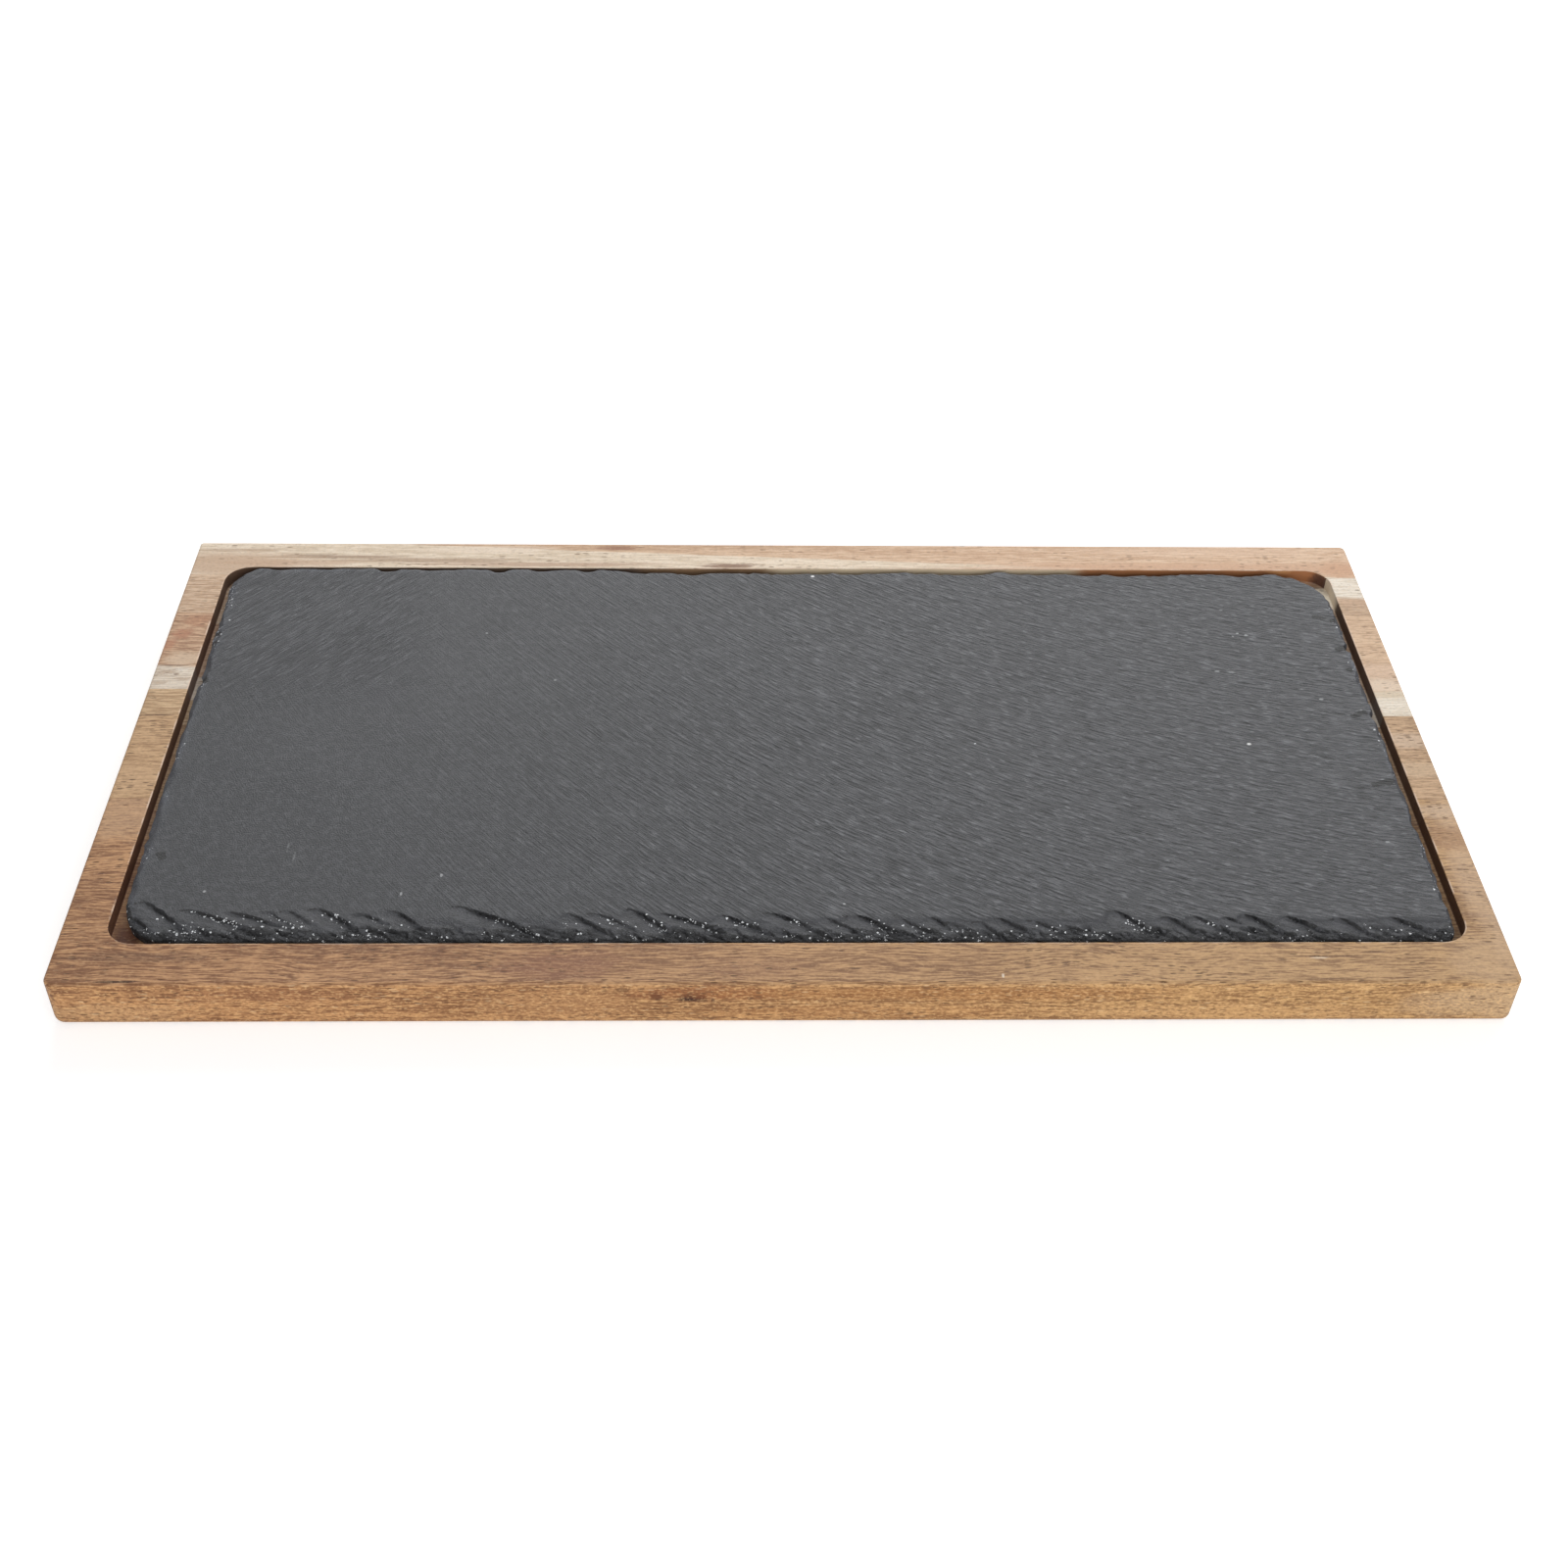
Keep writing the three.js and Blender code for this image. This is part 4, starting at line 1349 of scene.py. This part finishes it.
def wood_material(name):
    """Wood with pores, a dark wall partly painted shade, and a pale arris partly a painted highlight."""
    material = bpy.data.materials.new(name + "_acacia")
    material.use_nodes = True
    tree = material.node_tree
    tree.nodes.clear()
    heart = use_group(tree, grain, dict(zip(GRAIN_INPUTS, HEART[name]["grain"])))
    x = add(tree, "SeparateXYZ", {0: millimetres(tree)}).outputs["X"]
    tones, colour = plain_wood(tree, name, heart, x)
    colour = pored_wood(tree, heart, tones[1], colour)
    burnish_and_shade = wall_colour(tree, name, x)
    # Painted shade: the wall and a strip of the floor beside it take the dark wall colour.
    wall = kept(tree, "wall")
    colour = blend(tree, times(tree, wall, 0.9), colour, burnish_and_shade)
    # Partly wear, partly a painted highlight: the pale arris where the pocket's edge catches the light.
    arris = kept(tree, "arris")
    worn = ease(tree, blobs(tree, millimetres(tree), (7, 7, 7), 3.0), 0.44, 0.62)
    colour = blend(tree, times(tree, arris, times(tree, worn, 0.7)), colour, WORN_AND_LIT_ARRIS)
    bump = add(tree, "Bump", {"Height": heart["Height"], "Strength": 0.5, "Distance": WOOD_BUMP})
    feeds = {"Base Color": colour, "Roughness": heart["Roughness"], "Normal": bump.outputs[0]}
    skin = add(tree, "BsdfPrincipled", feeds)
    skin.inputs["Specular IOR Level"].default_value = WOOD_SPECULAR
    add(tree, "OutputMaterial", {"Surface": skin.outputs[0]})
    return material


for name, stave in wood_pieces.items():
    stave.data.materials.append(wood_material(name))
print("wood materials:", len(wood_pieces))

# %% [markdown]
# Slate is nearly black when wet and mid grey when dry, with a silky sheen from its mica. The ripples
# too fine for the mesh are a bump that follows the same fan as the relief, and grit breaks them up. The
# fan is worked out again here by nodes, from the same two angles as in the mesh.

# %% Slate ripples in nodes
slate = bpy.data.materials.new("riven_slate")
slate.use_nodes = True
tree = slate.node_tree
tree.nodes.clear()
place = millimetres(tree)
jitter = blobs(tree, place, (4.5, 4.5, 4.5), 2.0)
jitter = times(tree, minus(tree, jitter, 0.5), 1.1)
axis = add(tree, "SeparateXYZ", {0: place}).outputs
shaken_y = plus(tree, axis["Y"], jitter)
slope = plus(tree, times(tree, axis["X"], FAN_TURN), FAN_MIDDLE)
fan = calc(tree, "LOGARITHM", calc(tree, "COSINE", slope), math.e)
fan_across = plus(tree, shaken_y, calc(tree, "DIVIDE", fan, FAN_TURN))
corner_across = minus(tree, shaken_y, times(tree, axis["X"], BACK_LEFT_SLOPE))
leftward = ease(tree, times(tree, axis["X"], -1.0), 90.0, 130.0)
at_corner = times(tree, leftward, ease(tree, axis["Y"], -10.0, 40.0))


def drawn_out(width, length):
    """Noise drawn out along the ripples: along the fan, and along the second family at the back left."""
    waves = []
    for across in (fan_across, corner_across):
        drawn = joined(tree, times(tree, across, 1 / width), times(tree, axis["X"], 1 / length))
        waves.append(cloud(tree, drawn, 1.5, 0.5))
    return add(tree, "Mix", {0: at_corner, 2: waves[0], 3: waves[1]}).outputs[0]


ripple = drawn_out(0.95, 9.0)
dash = drawn_out(0.6, 3.6)
calm = add(tree, "MapRange", {0: axis["X"], 1: -130.0, 2: 20.0, 3: 0.1, 4: 1.0}).outputs[0]
calm = calc(tree, "MAXIMUM", calm, times(tree, at_corner, 0.9))
print("ripple nodes", len(tree.nodes))

# %% [markdown]
# The riven top is dark grey with stains, and painted a little lighter towards the back and the right,
# where the lamp's sheen is strongest. Crests of ripples are painted paler and troughs darker, as light
# and shade on the ripples, short lit and shaded dashes break them up, and grit shows most where the top
# is calm. The same noises make the height of the bump, so that light and colour agree.

# %% Riven tones
chipped = kept(tree, "chip")
rough = kept(tree, "rough")
crease_shade_mask = kept(tree, "crease_shade")
crushed = kept(tree, "crush")
facet_lot = kept(tree, "facet")
margin_wear_and_sheen = kept(tree, "margin_wear_and_sheen")
riven_part = times(tree, calm, minus(tree, 1.0, chipped))
grit = blobs(tree, place, (0.5, 0.5, 0.5), 2.0, 0.6)
broken = blobs(tree, place, (1.3, 1.3, 1.0), 4.0, 0.65)
height = times(tree, plus(tree, ripple, times(tree, dash, 0.5)), riven_part)
height = plus(tree, height, times(tree, grit, 0.42))
height = plus(tree, height, times(tree, times(tree, broken, rough), 1.4))
stain_and_sheen = blobs(tree, place, (55, 40, 40), 3.0, 0.55)
# Painted light: besides its stains, the colour drifts lighter towards the right and the back.
stain_and_sheen = plus(tree, stain_and_sheen, times(tree, axis["X"], 0.0009))
stain_and_sheen = plus(tree, stain_and_sheen, times(tree, minus(tree, axis["Y"], 10.0), 0.0006))
colour = blend(tree, ease(tree, stain_and_sheen, 0.3, 0.7), screen_colour(52, 53, 56), screen_colour(63, 64, 67))
# Painted light and shade on the ripples: paler crests, darker troughs, and lit and shaded dashes.
lit_crest = times(tree, ease(tree, ripple, 0.48, 0.70), riven_part)
colour = paint(tree, colour, lit_crest, 0.6, (104, 105, 109))
shaded_trough = times(tree, minus(tree, 1.0, ease(tree, ripple, 0.30, 0.44)), riven_part)
colour = paint(tree, colour, shaded_trough, 0.85, (32, 33, 35))
lit_dash = times(tree, ease(tree, dash, 0.56, 0.72), riven_part)
colour = paint(tree, colour, lit_dash, 0.8, (124, 125, 129))
shaded_dash = times(tree, minus(tree, 1.0, ease(tree, dash, 0.30, 0.44)), riven_part)
colour = paint(tree, colour, shaded_dash, 0.95, (18, 19, 21))
gritty = minus(tree, 0.8, times(tree, calm, 0.42))
dark_grit = times(tree, ease(tree, grit, 0.52, 0.68), gritty)
colour = blend(tree, dark_grit, colour, screen_colour(46, 47, 49))
pale_grit = times(tree, minus(tree, 1.0, ease(tree, grit, 0.32, 0.46)), gritty)
colour = paint(tree, colour, pale_grit, 0.5, (94, 95, 99))
mottle = blobs(tree, place, (2.0, 2.0, 2.0), 3.0, 0.55)
mottled = minus(tree, 0.4, times(tree, calm, 0.28))
dull = times(tree, minus(tree, 1.0, ease(tree, mottle, 0.36, 0.50)), mottled)
colour = blend(tree, dull, colour, screen_colour(46, 47, 50))
bright = times(tree, ease(tree, mottle, 0.50, 0.64), mottled)
colour = blend(tree, bright, colour, screen_colour(86, 87, 91))
colour = paint(tree, colour, chipped, 0.75, (51, 52, 56))
print("slate nodes so far", len(tree.nodes))

# %% [markdown]
# A slab that has been handled bears small marks: smoother dark spots, pale nicks and a few scratches.
# Each has a middle, half size, raggedness, tint and strength, like the knots in the wood. There are so
# many that a patch group for each would outgrow the shader, so here one noise tears all their edges.

# %% Marks on the slate
SLATE_MARKS = [
    ((-125, 18, 16.5), (9, 7, 5), 0.5, (60, 60, 65), 0.3),
    ((-112, 4, 16.5), (7, 6, 5), 0.5, (60, 60, 65), 0.3),
    ((-106, -59, 16.5), (9, 6, 5), 0.5, (60, 60, 65), 0.3),
    ((-73, -59, 16.5), (10, 6, 5), 0.5, (60, 60, 65), 0.3),
    ((144.5, -4.3, 16.5), (0.9, 0.8, 2), 0.2, (240, 240, 240), 0.95),
    ((12, 85, 16.5), (0.9, 0.8, 2), 0.2, (245, 245, 245), 0.95),
    ((-96, 52, 16.5), (0.8, 0.6, 2), 0.7, (160, 162, 164), 0.7),
    ((-72, 27, 16.5), (0.7, 0.6, 2), 0.7, (160, 162, 164), 0.6),
    ((-98, -63, 16.5), (0.5, 1.2, 2), 0.9, (180, 182, 184), 0.7),
    ((-108.5, -70.5, 16.5), (0.4, 1.0, 2), 0.6, (180, 182, 184), 0.7),
    ((-163.5, -69.5, 16.5), (0.55, 0.5, 2), 0.5, (190, 192, 194), 0.7),
    ((16, -74.7, 16.5), (0.55, 0.5, 2), 0.4, (190, 192, 194), 0.7),
    ((-143.2, -51.0, 16.5), (0.4, 2.2, 2), 0.9, (136, 138, 140), 0.5),
    ((-140.9, -55.5, 16.5), (0.4, 2.4, 2), 0.9, (134, 136, 138), 0.45),
    ((152.0, 53.0, 16.5), (0.7, 0.5, 2), 0.5, (196, 198, 200), 0.8),
    ((154.6, 52.0, 16.5), (0.9, 0.5, 2), 0.5, (190, 192, 194), 0.8),
    ((150.2, 51.4, 16.5), (0.6, 0.5, 2), 0.5, (170, 172, 174), 0.7),
    ((141.5, 32.4, 16.5), (1.1, 0.4, 2), 0.6, (176, 178, 180), 0.7),
    ((146.0, 31.9, 16.5), (1.6, 0.4, 2), 0.6, (170, 172, 174), 0.7),
    ((149.0, 66.0, 16.5), (0.9, 0.5, 2), 0.6, (160, 162, 164), 0.6),
    ((182.0, -21.2, 16.5), (0.6, 0.5, 2), 0.5, (160, 162, 164), 0.8),
    ((183.6, 12.6, 16.5), (0.7, 0.5, 2), 0.5, (140, 142, 144), 0.7),
    ((172.0, 18.0, 16.5), (0.8, 0.6, 2), 0.6, (168, 170, 172), 0.7),
    ((176.5, -49.0, 16.5), (0.8, 0.6, 2), 0.6, (168, 170, 172), 0.7),
]
# middle of every dark dot that makes up a crack near the slab's ends
CRACK_DOTS = [
    (183.8, 44.2), (184.7, 44.6), (185.5, 45.3), (186.0, 44.6), (180.6, 9.4), (181.5, 9.9),
    (182.4, 10.4), (183.2, 11.0), (184.2, 11.5), (179.3, -23.4), (180.3, -23.2), (181.4, -22.7),
    (182.5, -22.4), (183.5, -22.7), (184.0, -21.6), (180.4, 62.2), (182.2, 61.4), (185.6, 60.0),
    (185.0, 33.4), (-183.2, 27.4), (-182.6, 26.0), (-179.0, -54.2), (-178.2, -55.4), (-184.0, 52.0),
    (-183.6, 47.0),
]
CRACK_SIZE = (1.9, 1.6, 4.0)
CRACK_TEAR = 0.5
print("marks on the slate:", len(SLATE_MARKS), "and", len(CRACK_DOTS), "dots of cracks")

# %% [markdown]
# Each mark is laid over the stone in turn. The dots of the cracks are gathered into one mask,
# which is used further on, after the broken stone has its colours.

# %% Lay the marks
loose = minus(tree, broken, 0.5)


def spot(centre, size, torn):
    """One less the eased distance from the centre, in half sizes, with one noise tearing every edge."""
    reach = length_of(tree, from_centre(tree, place, centre, size))
    reach = plus(tree, reach, times(tree, loose, 3.0 * torn))
    return minus(tree, 1.0, ease(tree, reach, 0.4, 1.0))


split = 0.0
for x, y in CRACK_DOTS:
    split = calc(tree, "MAXIMUM", split, spot((x, y, TOP), CRACK_SIZE, CRACK_TEAR))
for centre, size, torn, tint, strength in SLATE_MARKS:
    mask = spot(centre, size, torn)
    colour = paint(tree, colour, mask, strength, tint)
print("slate nodes so far", len(tree.nodes))

# %% [markdown]
# Broken stone looks different from the riven top. Flake scars are smooth and a little bluer, creases
# under the ridges are painted dark as shade, the foot is rough, and where the stone was crushed it is
# full of tiny facets with painted glints. The numbers kept at the slab's points say where each of these is.

# %% Scars, margin and foot
facet_tone = blend(tree, facet_lot, screen_colour(27, 28, 31), screen_colour(80, 81, 86))
colour = blend(tree, times(tree, chipped, 0.6), colour, facet_tone)
# Partly wear, partly a painted reflection: the pale bluish margin along the slab's edges.
colour = paint(tree, colour, margin_wear_and_sheen, 0.65, (104, 108, 118))
comb = blobs(tree, place, (0.5, 2.4, 2.4), 2.0, 0.6)
torn_tone = plus(tree, times(tree, comb, 0.6), times(tree, broken, 0.4))
combed = ease(tree, torn_tone, 0.40, 0.60)
rough_tone = blend(tree, combed, screen_colour(26, 26, 27), screen_colour(80, 81, 82))
colour = blend(tree, times(tree, rough, 0.7), colour, rough_tone)
print("slate nodes so far", len(tree.nodes))

# %% [markdown]
# Shards are small broken faces, each with a tone of its own and dark cracks between them.
# Voronoi cells have both: a random colour for each cell and the distance to its edge.
# Noise twists the cells first, because straight sides would look drawn with a ruler.

# %% Shards and creases
leaning = plus(tree, axis["X"], axis["Y"])
slanted = joined(tree, leaning, times(tree, axis["Y"], 1.8), axis["Z"])
twist = add(tree, "TexNoise", {"Vector": place, "Scale": 0.7, "Detail": 2.0}).outputs["Color"]
twisted = moved(tree, stretch(tree, slanted, (0.55, 0.55, 0.55)), twist)
shards = add(tree, "TexVoronoi", {"Vector": twisted, "Scale": 1.0})
outlines = add(tree, "TexVoronoi", {"Vector": twisted, "Scale": 1.0}, feature="DISTANCE_TO_EDGE")
shard_lot = add(tree, "SeparateColor", {0: shards.outputs["Color"]}).outputs[0]
shattered = calc(tree, "MINIMUM", plus(tree, rough, times(tree, chipped, 0.35)), 1.0)
shard_tone = blend(tree, shard_lot, screen_colour(14, 14, 16), screen_colour(88, 89, 93))
colour = blend(tree, times(tree, shattered, 0.72), colour, shard_tone)
cracked = minus(tree, 1.0, ease(tree, outlines.outputs["Distance"], 0.03, 0.12))
colour = paint(tree, colour, times(tree, cracked, shattered), 0.8, (10, 10, 12))
# Painted shade: nearly black lines where the creases under the ridges and the front foot lie in shade.
frayed_crease_shade = plus(tree, crease_shade_mask, times(tree, minus(tree, broken, 0.5), 0.8))
frayed_crease_shade = plus(tree, frayed_crease_shade, times(tree, minus(tree, grit, 0.5), 0.5))
colour = paint(tree, colour, ease(tree, frayed_crease_shade, 0.64, 0.80), 0.95, (12, 12, 14))
colour = paint(tree, colour, ease(tree, split, 0.3, 0.6), 0.95, (10, 10, 12))
print("slate nodes so far", len(tree.nodes))

# %% [markdown]
# Crushed stone glitters, and its crystals are painted into the colour: most of them dull, some pits
# painted dark as shade, and a few nearly white as painted glints.
# Each Voronoi cell draws lots again, and the more crushed the stone, the more of its cells win.

# %% Glints
PIT_LEVEL = 0.999
GLINT_LEVEL = 0.99995

shake = {"Vector": stretch(tree, place, (1.6, 1.6, 1.6)), "Scale": 1.0, "Detail": 1.0}
shaken = add(tree, "TexNoise", shake).outputs["Color"]
shaken = moved(tree, stretch(tree, place, (1 / 0.72, 1 / 0.62, 1 / 0.62)), shaken)
crystals = add(tree, "TexVoronoi", {"Vector": shaken, "Scale": 1.0}, distance="MANHATTAN")
lot = add(tree, "SeparateColor", {0: crystals.outputs["Color"]}).outputs
reach = plus(tree, 0.26, times(tree, lot[2], 0.5))
inside = calc(tree, "LESS_THAN", crystals.outputs["Distance"], reach)
# Painted shade in the pits, then painted glints on a few crystals.
pit = calc(tree, "GREATER_THAN", plus(tree, lot[1], times(tree, crushed, 0.62)), PIT_LEVEL)
colour = paint(tree, colour, times(tree, pit, inside), 0.85, (16, 16, 18))
chance = plus(tree, times(tree, crushed, 0.58), times(tree, rough, 0.04))
facet = calc(tree, "GREATER_THAN", plus(tree, lot[0], chance), GLINT_LEVEL)
shine = plus(tree, 0.6, times(tree, lot[2], 0.4))
painted_glint = times(tree, times(tree, facet, inside), shine)
colour = blend(tree, painted_glint, colour, screen_colour(244, 247, 250))
print("slate nodes so far", len(tree.nodes))

# %% [markdown]
# Dry slate has a soft sheen, which the lamp behind the tray draws across the top.
# It comes from a middling roughness, higher where the stone is broken, and from the bump.

# %% Slate finish
SLATE_BUMP = 0.9 * MM
SLATE_SPECULAR = 0.42

bump = add(tree, "Bump", {"Height": height, "Strength": 1.0, "Distance": SLATE_BUMP})
roughness = plus(tree, 0.51, times(tree, rough, 0.2))
feeds = {"Base Color": colour, "Roughness": roughness, "Normal": bump.outputs[0]}
skin = add(tree, "BsdfPrincipled", feeds)
skin.inputs["Specular IOR Level"].default_value = SLATE_SPECULAR
add(tree, "OutputMaterial", {"Surface": skin.outputs[0]})
slab.data.materials.append(slate)
print("slate nodes", len(tree.nodes))
